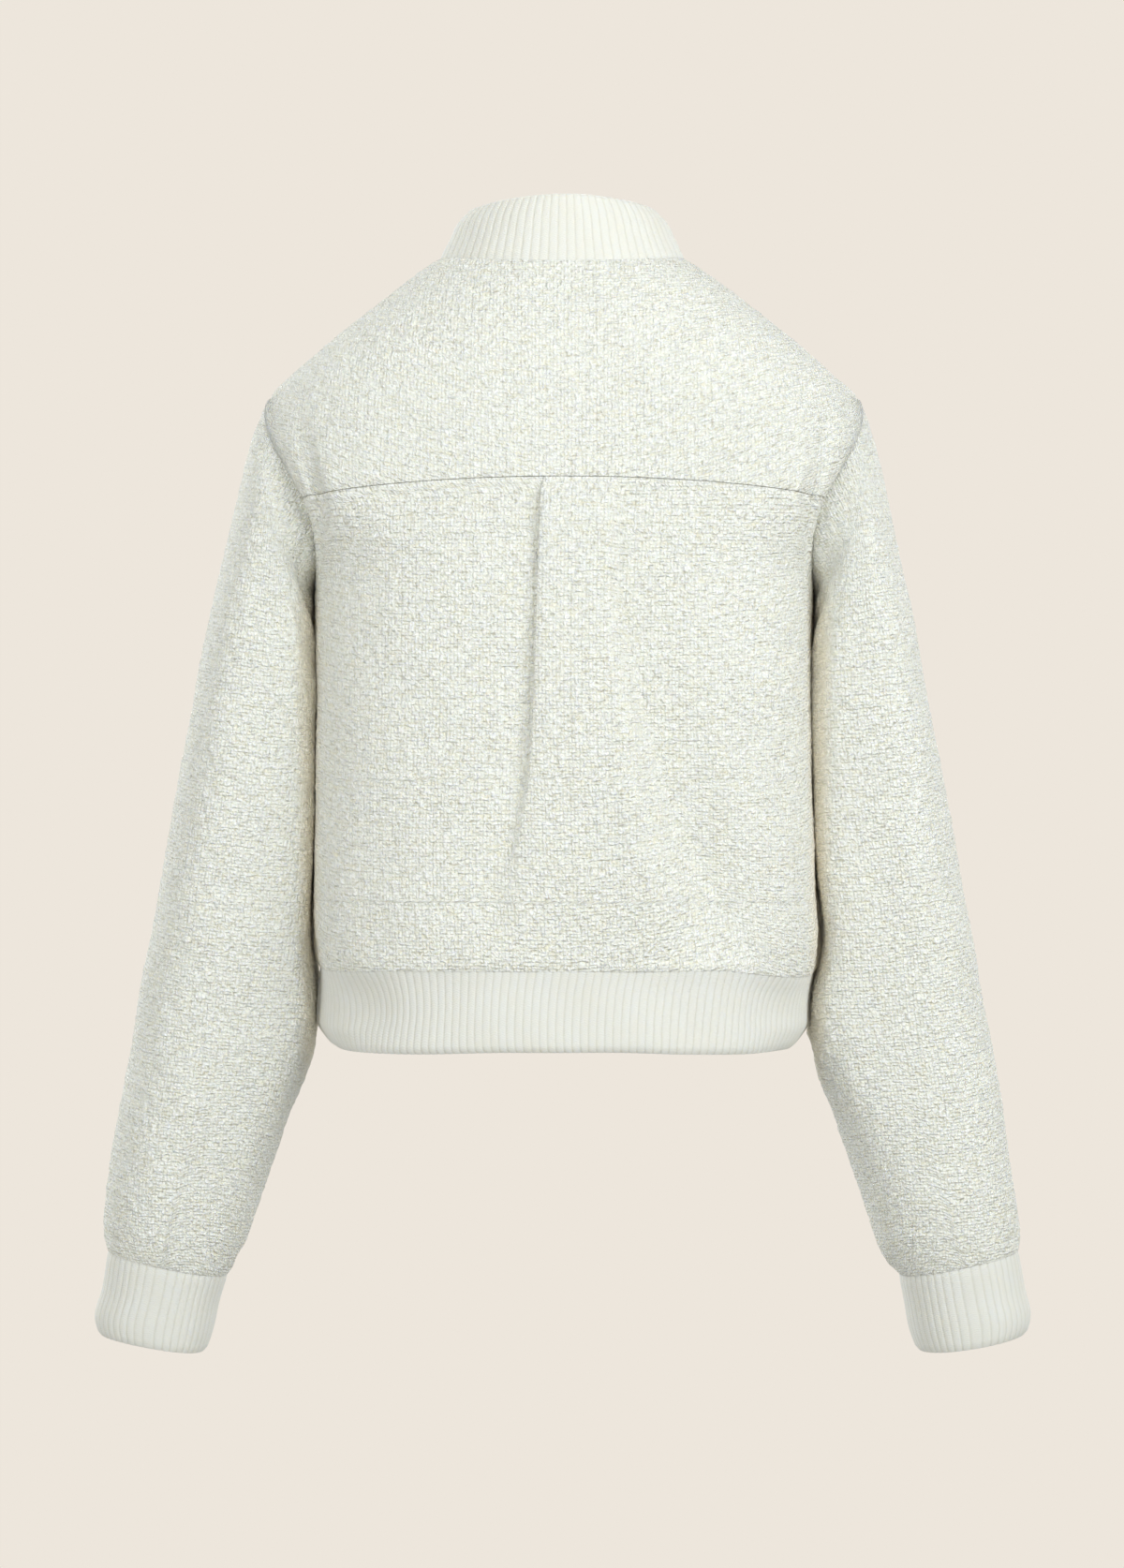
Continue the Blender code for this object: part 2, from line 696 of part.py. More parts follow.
def make_hem_band():
    heights = (SIDE_SEAM_Z[-1],) + HEM_BAND_Z
    grid = [hem_line(z, 11) for z in heights]
    grid[0] = [point - Vector((0.0, 0.0, SEAM)) for point in grid[0]]
    normals = [[level_normal(point) for point in line] for line in grid]
    return cloth_wall("hem_band", grid, normals, finish="rib")


# ---------------------------------------------------------------- zip
def centre_heights():
    """Heights of the centre front's corners between the two ends of the zip."""
    heights = [z for share, z, edge_z in front_rows()[NECK_STEPS + 1:]]
    heights += [z for z in HEM_BAND_Z if z > ZIP_BOTTOM]
    return [ZIP_TOP] + heights + [ZIP_BOTTOM]


def zip_strip(name, inner, outer, depth, wall, heights, finish):
    """A flat strip that follows the centre front, from inner to outer and depth behind it."""
    grid = []
    for z in heights:
        y = -body("front", z) + depth
        grid.append([Vector((inner, y, z)), Vector((outer, y, z))])
    normals = [[Vector((0.0, -1.0, 0.0))] * 2 for line in grid]
    return cloth_wall(name, grid, normals, wall=wall, finish=finish)


def centre_slope():
    """The lean of the zip at its slider, as the directions up it and out of it."""
    drop = 10.0
    low = Vector((0.0, -body("front", SLIDER_Z - drop), -drop))
    high = Vector((0.0, -body("front", SLIDER_Z + drop), drop))
    up = (high - low).normalized()
    return up, Vector((1.0, 0.0, 0.0)).cross(up).normalized()


def slider_frame():
    """A frame at the slider: X to the left, Y into the jacket and Z up along the zip."""
    up, inward = centre_slope()
    if inward.y < 0.0:
        inward.negate()
    frame = Matrix.Identity(4)
    frame.col[0][:3] = (1.0, 0.0, 0.0)
    frame.col[1][:3] = inward
    frame.col[2][:3] = up
    frame.translation = Vector((0.0, -body("front", SLIDER_Z), SLIDER_Z)) * MM
    return frame


def add_box(bm, low, high):
    size = Vector(high) - Vector(low)
    middle = (Vector(high) + Vector(low)) / 2.0
    made = bmesh.ops.create_cube(bm, size=1.0)["verts"]
    bmesh.ops.scale(bm, vec=size * MM, verts=made)
    bmesh.ops.translate(bm, vec=middle * MM, verts=made)


def add_rod(bm, radius, length, y, z):
    """A rod along X, centred on the middle of the zip."""
    made = bmesh.ops.create_cone(bm, cap_ends=True, segments=ROUND_STEPS, radius1=radius * MM,
                                 radius2=radius * MM, depth=length * MM)["verts"]
    bmesh.ops.rotate(bm, verts=made, matrix=Matrix.Rotation(math.pi / 2.0, 3, "Y"))
    bmesh.ops.translate(bm, vec=Vector((0.0, y, z)) * MM, verts=made)


def hidden_object(name, bm):
    mesh = bpy.data.meshes.new(name)
    bm.to_mesh(mesh)
    bm.free()
    made = bpy.data.objects.new(name, mesh)
    cutters.objects.link(made)
    made.hide_render = True
    made.display_type = "WIRE"
    return made


def boolean(target, tool, operation):
    change = target.modifiers.new(tool.name, "BOOLEAN")
    change.operation = operation
    change.object = tool
    change.solver = "EXACT"


def pin_depth():
    return CHAIN_SINK - SEAM - SLIDER_PLATE - PIN_FROM_PLATE


def slider_body(bm):
    """Front plate, back plate and the post that joins them above the last teeth."""
    half = SLIDER_LENGTH / 2.0
    front = CHAIN_SINK - SEAM
    back = TAPE_DEPTH + TAPE_WALL + SEAM
    add_box(bm, (-SLIDER_WIDTH / 2.0, front - SLIDER_PLATE, -half), (SLIDER_WIDTH / 2.0, front, half))
    return front, back, half


def make_slider():
    frame = slider_frame()
    bm = bmesh.new()
    front, back, half = slider_body(bm)
    slider = finish_object("zip_slider", bm, "metal")
    slider.matrix_world = frame
    plate = bmesh.new()
    add_box(plate, (-SLIDER_WIDTH / 2.0, back, -half), (SLIDER_WIDTH / 2.0, back + SLIDER_PLATE, half))
    post = bmesh.new()
    add_box(post, (-2.0, front - 0.4, half - SLIDER_POST), (2.0, back + 0.4, half))
    pieces = [("slider_back", plate), ("slider_post", post)]
    for side in (LEFT, RIGHT):
        ear = bmesh.new()
        inner = EYE_WIDTH / 2.0 + SEAM
        low = min(side * inner, side * (inner + EAR_WALL))
        top = front - SLIDER_PLATE
        add_box(ear, (low, top - EAR_HEIGHT, -1.4), (low + EAR_WALL, top + 0.4, 1.4))
        pieces.append(("slider_ear_%d" % (side + 1), ear))
    pin = bmesh.new()
    add_rod(pin, PIN_RADIUS, EYE_WIDTH + 2.0 * SEAM + EAR_WALL, pin_depth(), 0.0)
    pieces.append(("slider_pin", pin))
    for name, piece in pieces:
        tool = hidden_object(name, piece)
        tool.matrix_world = frame
        boolean(slider, tool, "UNION")
    return slider


def make_pull_tab():
    """The tab hangs on the slider's pin, and its origin is on the pin's axis."""
    frame = slider_frame()
    pivot = frame @ Matrix.Translation(Vector((0.0, pin_depth(), 0.0)) * MM)
    bm = bmesh.new()
    add_rod(bm, EYE_RADIUS, EYE_WIDTH, 0.0, 0.0)
    tab = finish_object("zip_pull_tab", bm, "metal")
    tab.matrix_world = pivot
    neck = bmesh.new()
    neck_end = -SLIDER_LENGTH / 2.0 + 1.0
    add_box(neck, (-EYE_WIDTH / 2.0, -TAB_WALL / 2.0, neck_end - 1.0), (EYE_WIDTH / 2.0, TAB_WALL / 2.0, -0.9))
    blade = bmesh.new()
    add_box(blade, (-TAB_WIDTH / 2.0, -TAB_WALL / 2.0, -TAB_LENGTH), (TAB_WIDTH / 2.0, TAB_WALL / 2.0, neck_end))
    hole = bmesh.new()
    add_rod(hole, PIN_RADIUS + SEAM, EYE_WIDTH + 2.0, 0.0, 0.0)
    for name, piece, operation in (("tab_neck", neck, "UNION"), ("tab_blade", blade, "UNION"),
                                   ("tab_hole", hole, "DIFFERENCE")):
        tool = hidden_object(name, piece)
        tool.matrix_world = pivot
        boolean(tab, tool, operation)
    return tab


def make_bottom_box():
    """The box that the two halves of the zip start from, at the hem."""
    y = -body("front", ZIP_BOTTOM) + CHAIN_SINK
    bm = bmesh.new()
    low = (-FRONT_EDGE + 0.5, y - 0.8, -517.5)
    high = (FRONT_EDGE - 0.5, y + CHAIN_WALL + 0.8, ZIP_BOTTOM - SEAM)
    add_box(bm, low, high)
    return finish_object("zip_bottom_box", bm, "metal")


def make_zip():
    heights = centre_heights()
    for side, name in ((LEFT, "zip_tape_left"), (RIGHT, "zip_tape_right")):
        ends = sorted((side * TAPE_INNER, side * TAPE_OUTER))
        zip_strip(name, ends[0], ends[1], TAPE_DEPTH, TAPE_WALL, heights, "tape")
    chain_top = SLIDER_Z + SLIDER_LENGTH / 2.0 - SLIDER_POST - CHAIN_CLEARANCE
    chain = [chain_top] + [z for z in heights[1:] if z < chain_top]
    zip_strip("zip_chain", -CHAIN_HALF, CHAIN_HALF, CHAIN_SINK, CHAIN_WALL, chain, "metal")
    make_slider()
    make_pull_tab()
    make_bottom_box()


def new_collection(name):
    made = bpy.data.collections.new(name)
    bpy.context.scene.collection.children.link(made)
    return made


for old in list(bpy.data.objects):
    bpy.data.objects.remove(old, do_unlink=True)
collection = new_collection("bomber_jacket")
cutters = new_collection("cutters")
make_back_yoke()
make_back_panel()
make_collar()
make_hem_band()
for wearer_side in (LEFT, RIGHT):
    make_front(wearer_side)
    make_sleeve(wearer_side)
    make_cuff(wearer_side)
make_zip()
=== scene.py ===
# %% [markdown]
# # A cropped bomber jacket in boucle tweed
#
# The jacket is filled out as if worn, and is seen from behind. The solids that carry it come
# first: they fix every size and place, in metres. On the real jacket each cut piece is a limp
# sheet, sewn to its neighbours and filled out by the body in it. Here each piece becomes a fine
# thin sheet on the form of its solid, with folds, seams, knitted ribs and a weave of its own.

# %% Load the frame
import math

import bmesh
import bpy
import numpy as np
from mathutils import Matrix, Vector, noise


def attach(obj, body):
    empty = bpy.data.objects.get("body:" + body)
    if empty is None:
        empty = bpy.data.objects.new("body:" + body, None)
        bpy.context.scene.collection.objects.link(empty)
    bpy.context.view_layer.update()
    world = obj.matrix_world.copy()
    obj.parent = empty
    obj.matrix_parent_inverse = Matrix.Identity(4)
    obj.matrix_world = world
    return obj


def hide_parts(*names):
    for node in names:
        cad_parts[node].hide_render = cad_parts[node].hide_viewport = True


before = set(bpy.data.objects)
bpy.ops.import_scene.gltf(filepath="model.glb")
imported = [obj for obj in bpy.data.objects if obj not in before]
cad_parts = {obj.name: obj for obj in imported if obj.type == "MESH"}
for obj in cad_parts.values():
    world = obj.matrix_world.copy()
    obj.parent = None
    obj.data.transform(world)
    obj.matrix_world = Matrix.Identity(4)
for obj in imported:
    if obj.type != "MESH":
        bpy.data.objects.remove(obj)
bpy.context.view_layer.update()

LEFT, RIGHT = 1, -1      # the wearer's sides: X runs to the wearer's left
BACK, FRONT = 1, -1      # Y runs from the front of the jacket to its back
MM = 0.001               # the frame is in metres, and the tables below are in millimetres

# %% [markdown]
# ## Camera
# A garment on a stand is usually taken from a few paces away with a long lens, so that near and
# far cloth keep their sizes. The camera looks level at the middle of the back.

# %% Camera
VIEW_FROM = (0.0012, 2.4, -0.347)
VIEW_HEIGHT = 1.038      # what the frame shows on the plane through the neck
FILM = 36.0


def add_camera():
    data = bpy.data.cameras.new("camera")
    data.sensor_width = FILM
    data.lens = FILM * VIEW_FROM[1] / VIEW_HEIGHT
    made = bpy.data.objects.new("camera", data)
    made.location = VIEW_FROM
    made.rotation_euler = (math.radians(90.0), 0.0, math.radians(180.0))
    bpy.context.scene.collection.objects.link(made)
    bpy.context.scene.camera = made
    return made


camera = add_camera()
print("lens: %.1f mm" % camera.data.lens)

# %% [markdown]
# ## Two helpers
# Every piece needs a finish and an object. A value that is the same all over a finish is set on
# the shader's own socket. An object stays at the origin, unturned, and its mesh holds its place.

# %% Finish and object
def principled(name, values):
    """A new material and its shader, with the values that are the same all over."""
    made = bpy.data.materials.new(name)
    made.use_nodes = True
    shader = made.node_tree.nodes["Principled BSDF"]
    for socket, value in values.items():
        shader.inputs[socket].default_value = value
    return made, shader


def object_of(bm, name, finish):
    """The finished bmesh as an object in the scene."""
    mesh = bpy.data.meshes.new(name)
    bm.to_mesh(mesh)
    bm.free()
    mesh.materials.append(finish)
    made = bpy.data.objects.new(name, mesh)
    bpy.context.scene.collection.objects.link(made)
    return made


print("helpers: principled, object_of")

# %% [markdown]
# ## Floor
# A pale studio cove goes all the way round: a big round shell with a level floor. It glows
# evenly and casts no light on the jacket, so its colour and the jacket's light can be set one
# by one.

# %% Floor
PALE = (0.847, 0.791, 0.716, 1.0)
BLACK = (0.0, 0.0, 0.0, 1.0)
FLOOR_HEIGHT = -1.35     # the jacket is held as high as a person's shoulders
COVE_RADIUS = 9.0


def add_floor():
    bm = bmesh.new()
    bmesh.ops.create_uvsphere(bm, u_segments=96, v_segments=48, radius=COVE_RADIUS)
    shell = bm.verts[:] + bm.edges[:] + bm.faces[:]
    cut = bmesh.ops.bisect_plane(bm, geom=shell, plane_co=(0.0, 0.0, FLOOR_HEIGHT),
                                 plane_no=(0.0, 0.0, -1.0), clear_outer=True)["geom_cut"]
    rim = [edge for edge in cut if isinstance(edge, bmesh.types.BMEdge)]
    bmesh.ops.contextual_create(bm, geom=rim)
    bmesh.ops.recalc_face_normals(bm, faces=bm.faces)
    bmesh.ops.reverse_faces(bm, faces=bm.faces)
    finish, _ = principled("studio_sheet", {
        "Base Color": BLACK, "Roughness": 1.0, "Specular IOR Level": 0.0,
        "Emission Color": PALE, "Emission Strength": 1.0})
    made = object_of(bm, "floor", finish)
    made.visible_diffuse = False
    made.visible_glossy = False
    made.visible_shadow = False
    return made


floor = add_floor()
print("floor faces:", len(floor.data.polygons))

# %% [markdown]
# ## Light
# Light from one side brings out thick cloth, and a wide fill keeps the shaded side open. So a
# large lamp stands high on one side and a larger one low on the other, and the same pair stands
# in front. A faint warm sky fills what the lamps don't reach.

# %% Light
LAMPS = (
    # name, place, size, watts, colour
    ("key", (-2.02, 2.12, 0.9), 1.9, 67.5, (0.917, 0.958, 1.0)),
    ("fill", (1.4, 2.75, 0.15), 2.8, 50.0, (0.910, 0.953, 1.0)),
    ("front_key", (2.02, -2.12, 0.9), 1.9, 67.5, (0.917, 0.958, 1.0)),
    ("front_fill", (-1.4, -2.75, 0.15), 2.8, 50.0, (0.910, 0.953, 1.0)),
)
AIM = Vector((0.0, 0.0, -0.35))
SKY = {"Color": (0.983, 0.976, 0.914, 1.0), "Strength": 0.48}


def add_lamp(name, place, size, watts, colour):
    data = bpy.data.lights.new(name, "AREA")
    data.size = size
    data.energy = watts
    data.color = colour
    made = bpy.data.objects.new(name, data)
    made.location = place
    made.rotation_euler = (AIM - Vector(place)).to_track_quat("-Z", "Y").to_euler()
    bpy.context.scene.collection.objects.link(made)


for lamp in LAMPS:
    add_lamp(*lamp)
world = bpy.data.worlds.new("studio")
world.use_nodes = True
for socket, value in SKY.items():
    world.node_tree.nodes["Background"].inputs[socket].default_value = value
bpy.context.scene.world = world
bpy.context.scene.view_settings.view_transform = "Standard"
print("lamps:", len(LAMPS))

# %% [markdown]
# ## Armhole
# The sleeve is sewn into an opening that runs from the shoulder point to the armpit. It is an
# oval that leans with the side of the body, a little bowed. The back, the fronts and the sleeve
# all end on this one line, so it is worked out once, from the sizes of the solids.

# %% Armhole
ARMHOLE_TOP = (194.0, -93.0)
ARMHOLE_BOTTOM = (163.0, -212.0)
ARMHOLE_HALF_DEPTH = 58.0
ARMHOLE_BOW = (-95.0, 157.0)
ARMHOLE_ROUND = 0.85
ARMHOLE_STEPS = 9        # the solids count these steps from the shoulder point to the armpit


def mix(start, end, share):
    return start + (end - start) * share


def smooth(share):
    share = np.clip(share, 0.0, 1.0)
    return share * share * (3.0 - 2.0 * share)


def armhole(side, half, angle):
    """Points of the armhole: angle 0 is the shoulder point and pi the armpit."""
    share = (1.0 + np.cos(angle)) / 2.0
    bow = share * (1.0 - share) * (ARMHOLE_BOW[0] + ARMHOLE_BOW[1] * share)
    x = mix(ARMHOLE_BOTTOM[0], ARMHOLE_TOP[0], share) + bow
    y = ARMHOLE_HALF_DEPTH * np.clip(np.sin(angle), 0.0, 1.0) ** ARMHOLE_ROUND
    return side * x, half * y, mix(ARMHOLE_BOTTOM[1], ARMHOLE_TOP[1], share)


def armhole_share(z):
    """How far up the armhole a height is: 0 is the armpit and 1 the shoulder point."""
    return (z - ARMHOLE_BOTTOM[1]) / (ARMHOLE_TOP[1] - ARMHOLE_BOTTOM[1])


def armhole_angle(z):
    return np.arccos(np.clip(2.0 * armhole_share(z) - 1.0, -1.0, 1.0))


def armhole_z(step):
    return armhole(LEFT, BACK, np.pi * np.asarray(step, float) / ARMHOLE_STEPS)[2]


print("heights on the armhole:", np.round(armhole_z([0, 3, 6, 9]), 1))

# %% [markdown]
# ## Sections of the body
# The torso is a stack of level sections. Each has a half width to the left and right, a depth
# to the back and front, and a roundness: 2 is an ellipse and more is squarer. Above the armpit
# a section ends at the armhole, and above the shoulder point at the shoulder seam. These are
# the solids' own sections, so that the sheets lie on the solids. A spline through them takes
# away their facets.

# %% Sections
BODY_COLUMNS = ("z", "left", "right", "back", "front", "round")
BODY = (
    (0.0, 82.0, 80.0, 46.0, 14.0, 2.0),
    (-18.6, 109.0, 108.0, 62.0, 40.0, 2.1),
    (-37.2, 132.0, 131.0, 74.0, 61.0, 2.15),
    (-55.8, 155.0, 153.5, 82.0, 77.0, 2.2),
    (-74.4, 178.0, 175.5, 88.0, 88.0, 2.3),
    (-93.0, 194.0, 194.0, 92.0, 94.0, 2.4),
    (-122.8, 190.0, 190.0, 98.0, 102.0, 2.6),
    (-162.8, 168.0, 168.0, 104.0, 110.0, 2.8),
    (-212.0, 163.0, 163.0, 107.5, 113.0, 2.9),
    (-240.0, 163.0, 163.0, 108.5, 113.5, 2.9),
    (-275.0, 162.5, 162.5, 108.5, 113.0, 2.9),
    (-310.0, 162.5, 162.5, 108.0, 111.5, 2.9),
    (-345.0, 163.0, 163.0, 107.0, 109.5, 2.9),
    (-380.0, 163.5, 164.0, 106.0, 107.5, 2.9),
    (-412.0, 163.5, 164.5, 105.5, 105.5, 2.9),
    (-436.0, 164.0, 167.0, 105.5, 104.5, 2.9),
    (-452.0, 164.0, 169.0, 105.5, 103.5, 2.9),
    (-462.0, 162.0, 167.5, 104.5, 102.0, 2.85),
    (-466.0, 159.5, 163.5, 102.5, 100.5, 2.8),
    (-480.0, 160.5, 162.0, 101.0, 99.5, 2.6),
    (-500.0, 161.5, 161.5, 100.5, 99.0, 2.5),
    (-514.0, 160.0, 160.0, 100.0, 98.5, 2.5),
    (-518.5, 156.5, 157.5, 98.5, 97.5, 2.5),
)


def interval(places, at):
    """The number of the last place before each point."""
    return np.clip(np.searchsorted(places, at, side="right") - 1, 0, len(places) - 2)


def curve(t, gap, start, start_slope, end, end_slope):
    """A cubic from one value to the next, with a slope at each end."""
    return ((2 * t ** 3 - 3 * t ** 2 + 1) * start + (t ** 3 - 2 * t ** 2 + t) * gap * start_slope
            + (3 * t ** 2 - 2 * t ** 3) * end + (t ** 3 - t ** 2) * gap * end_slope)


def spline(places, values, at):
    """A smooth curve through a table that never swings past its values."""
    gap = np.diff(places)
    rise = np.diff(values) / gap
    both = rise[:-1] * rise[1:]
    same_way = both > 0.0
    inner = np.where(same_way, 2.0 * both / np.where(same_way, rise[:-1] + rise[1:], 1.0), 0.0)
    slope = np.concatenate(([rise[0]], inner, [rise[-1]]))
    k = interval(places, at)
    t = np.clip((at - places[k]) / gap[k], 0.0, 1.0)
    return curve(t, gap[k], values[k], slope[k], values[k + 1], slope[k + 1])


def read(table, columns, name, z):
    """One column of a table of sections, at many heights."""
    rows = np.array(table)[::-1]
    return spline(rows[:, 0], rows[:, columns.index(name)], np.asarray(z, float))


def body(name, z):
    return read(BODY, BODY_COLUMNS, name, z)


print("back at the yoke seam: %.0f mm deep" % body("back", -150.0))

# %% [markdown]
# ## Points of the body
# Two small changes set soft cloth apart from its solid. The sides swell a little between the
# armpit and the hem, where the back rolls round to the front. And at the sides the hem seam
# hangs lower than in the middle, under the weight of the cloth.

# %% Points of the body
SWELL_COLUMNS = ("z", "left", "right")
SWELL = (
    (-212.0, 0.0, 0.0),
    (-228.0, 2.4, 2.6),
    (-250.0, 2.9, 3.1),
    (-290.0, 2.4, 2.6),
    (-452.0, 2.2, 2.4),
    (-480.0, 2.5, 2.0),
    (-518.0, 2.0, 1.5),
)
SWELL_DEPTH = 6.0        # the sides swell this far ahead of the side seams
SWELL_REACH = 16.0
SAG = ((LEFT, 2.0), (RIGHT, 6.0))        # the hem seam drops this much at each side
SAG_HEIGHT = -470.0
SAG_REACH = 18.0
SAG_START, SAG_WIDTH = 95.0, 60.0        # how far out the drop starts, and grows
ARMHOLE_GRIP = 20.0      # how close to the armhole the cloth keeps the armhole's own depth


def body_points(half, across, z):
    """Points of the back or front: across runs from -1, the right edge, to 1, the left edge."""
    across, z = np.broadcast_arrays(np.asarray(across, float), np.asarray(z, float))
    x, y, _ = armhole(LEFT, BACK, armhole_angle(z))
    armed = (z > ARMHOLE_BOTTOM[1]) & (z < ARMHOLE_TOP[1])
    width = np.where(armed, x, np.where(across >= 0.0, body("left", z), body("right", z)))
    share = armhole_share(z)
    soft = ARMHOLE_HALF_DEPTH * smooth(4.0 * share * (1.0 - share))
    start = half * np.where(armed, mix(soft, y, np.abs(across) ** ARMHOLE_GRIP), 0.0)
    depth = half * body("back" if half == BACK else "front", z)
    roundness = body("round", z)
    crown = np.clip(1.0 - np.clip(np.abs(across), 0.0, 1.0) ** roundness, 0.0, 1.0)
    y = mix(start, depth, crown ** (1.0 / roundness))
    swell = np.where(across >= 0.0, read(SWELL, SWELL_COLUMNS, "left", z),
                     -read(SWELL, SWELL_COLUMNS, "right", z))
    x = width * across + swell * np.exp(-((y + SWELL_DEPTH) / SWELL_REACH) ** 2)
    sag = sum(size * smooth((side * x - SAG_START) / SAG_WIDTH) for side, size in SAG)
    return np.stack((x, y, z - sag * np.exp(-((z - SAG_HEIGHT) / SAG_REACH) ** 2)), axis=-1)


print("middle of the back at the waist:", np.round(body_points(BACK, 0.0, -345.0), 1))

# %% [markdown]
# ## From a path to an even net
# A sheet is a net of points, and cloth looks like cloth only where the net is even. So each row
# and each column is walked at full length, and divided into equal steps. The UV map then holds
# the true length and width of the cloth in metres, so a weave drawn on it keeps its size.

# %% Lengths along the cloth
def added_up(steps):
    return np.concatenate(([0.0], np.cumsum(steps)))


def walked(points):
    """Length walked along a line of points, from its first point."""
    return added_up(np.linalg.norm(np.diff(points, axis=0), axis=-1))


def row_places(points):
    """How far down the net each row lies, on average."""
    return added_up(np.linalg.norm(np.diff(points, axis=0), axis=2).mean(axis=1))


def lengths(points, grain_across=None, grain_down=None):
    """Cloth lengths across and down to each point, counted from a column and a row of the net."""
    across = np.linalg.norm(np.diff(points, axis=1), axis=2)
    down = np.linalg.norm(np.diff(points, axis=0), axis=2)
    s = np.concatenate((np.zeros((len(points), 1)), np.cumsum(across, axis=1)), axis=1)
    t = np.concatenate((np.zeros((1, points.shape[1])), np.cumsum(down, axis=0)), axis=0)
    if grain_across is not None:
        s = s + grain_across[:, None]
    if grain_down is not None:
        t = t + grain_down[None, :]
    return s, t


print("half the armhole: %.0f mm along the cloth" % walked(
    np.stack(armhole(LEFT, BACK, np.linspace(0.0, np.pi, 100)), axis=-1))[-1])

# %% Even steps
def rounded_steps(count):
    """Steps from 0 to 1 that are short at both ends, where a path turns most."""
    return (1.0 - np.cos(np.linspace(0.0, np.pi, count))) / 2.0


def even_steps(path, low, high, count):
    """Values between low and high that divide a path into equal lengths."""
    tries = mix(low, high, rounded_steps(401))
    length = walked(path(tries))
    return np.interp(np.linspace(0.0, length[-1], count), length, tries)


def even_rows(points, count):
    """The same net with its rows at equal distances."""
    place = row_places(points)
    at = np.linspace(0.0, place[-1], count)
    k = interval(place, at)
    share = ((at - place[k]) / (place[k + 1] - place[k]))[:, None, None]
    return mix(points[k], points[k + 1], share)


def through_rows(points, count):
    """A smooth net through a few rows of points."""
    place = row_places(points)
    slope = np.gradient(points, place, axis=0)
    at = np.linspace(0.0, place[-1], count)
    k = interval(place, at)
    gap = (place[k + 1] - place[k])[:, None, None]
    t = (at - place[k])[:, None, None] / gap
    return curve(t, gap, points[k], slope[k], points[k + 1], slope[k + 1])


def eased(net, passes=260, margin=7.0):
    """The net with its kinks eased down each column, while its edges keep their places."""
    soft = net.copy()
    for _ in range(passes):
        soft[1:-1] = (soft[:-2] + 2.0 * soft[1:-1] + soft[2:]) / 4.0
    s, _ = lengths(net)
    hold = np.exp(-(np.minimum(s, s[:, -1:] - s) / margin) ** 2)
    return mix(soft, net, hold[..., None])


print("a row in four even steps:", even_steps(
    lambda across: body_points(BACK, across, -345.0), -1.0, 1.0, 5).round(2))

# %% Tubes and outward directions
def turns(columns):
    """Angles round a tube, one to each column."""
    return 2.0 * np.pi * np.arange(columns) / columns


def closed_up(net):
    """A net round a tube, with its first column once more at the end."""
    return np.concatenate((net, net[:, :1]), axis=1)


def outward(points, centre, closed=False):
    """Directions out of the sheet at each point, away from the middle of the form."""
    if closed:
        across = np.roll(points, -1, axis=1) - np.roll(points, 1, axis=1)
    else:
        across = np.gradient(points, axis=1)
    normals = np.cross(np.gradient(points, axis=0), across)
    normals /= np.maximum(np.linalg.norm(normals, axis=2, keepdims=True), 1e-9)
    return normals if np.sum(normals * (points - centre)) > 0.0 else -normals


print("turns of a tube of four columns:", turns(4).round(2))

# %% [markdown]
# ## Seams
# At a seam two pieces roll down to the same line of stitches. So the relief of each dies out
# there, and the sheet is lifted a little everywhere else. A stitched seam is a crisp line, one
# that is pressed flat is softer, and over the shoulder the cloth is pressed almost level.

# %% Seams
SEAM_CRISP = 2.0         # how wide the cloth rolls down to a stitched seam
SEAM_SOFT = 5.0          # and to a seam that is pressed flat
SEAM_LIFT = 0.6
SEAM_CALM = 4.5          # folds and lumps die out this close to a seam
SHOULDER_ROLL = 45.0     # the armhole seam over the shoulder, which is pressed almost level
SHOULDER_LOW, SHOULDER_FADE = -110.0, 90.0


def roll(distance, depth=SEAM_LIFT, width=2.4):
    """Cloth sinking towards a seam that lies at this distance."""
    return -depth * np.exp(-(np.maximum(distance, 0.0) / width) ** 2)


def seamed(relief, seams):
    """Relief with its seams, each given by the distance to it and the width of its roll."""
    lift = SEAM_LIFT
    for distance, width in seams:
        away = np.maximum(distance, 0.0)
        relief = relief * (1.0 - np.exp(-(away / SEAM_CALM) ** 2))
        lift = lift * (1.0 - np.exp(-(away / width) ** 2))
    return relief + lift


def armhole_roll(z):
    """How wide the cloth rolls to the armhole seam at each height."""
    return mix(SHOULDER_ROLL, SEAM_SOFT, smooth((SHOULDER_LOW - z) / SHOULDER_FADE))


print("armhole roll:", armhole_roll(np.array([-100.0, -150.0, -210.0])).round(1), "mm")

# %% [markdown]
# ## Lumps, folds and creases
# Boucle is a lumpy yarn, so the whole face is uneven at about the size of a grain of rice. Long
# folds run where the cloth hangs, each with its own course, depth and width. Short creases lie
# where it is pushed together. All are added up as one height above the form.

# %% Lumps, folds and creases
YARN_LUMPS = ((5.2, 0.7, 0.0), (2.8, 0.6, 9.0), (42.0, 0.9, 3.0))    # size, height, shift
CREASE_RIDGE = (0.5, 1.6, 1.3)       # the ridge beside a crease: height, distance and width


def lumps(s, t, size, height, seed):
    """Soft lumps of one size over a sheet."""
    places = zip((s / size).ravel(), (t / size).ravel())
    values = [noise.noise(Vector((a, b, seed))) for a, b in places]
    return height * np.array(values).reshape(s.shape)


def yarn_lumps(s, t, seed):
    """Uneven thickness of the yarn."""
    return sum(lumps(s, t, size, height, seed + shift) for size, height, shift in YARN_LUMPS)


def hanging_folds(s, z, folds):
    """Long folds down the cloth. Each is rows of height, place across, depth, and both widths."""
    total = np.zeros_like(s)
    for fold in folds:
        rows = np.array(fold, float)[::-1]
        place, depth, left, right = (spline(rows[:, 0], rows[:, k], z) for k in range(1, 5))
        off = s - place
        total += depth * np.exp(-(off / np.where(off > 0.0, left, right)) ** 2)
    return total


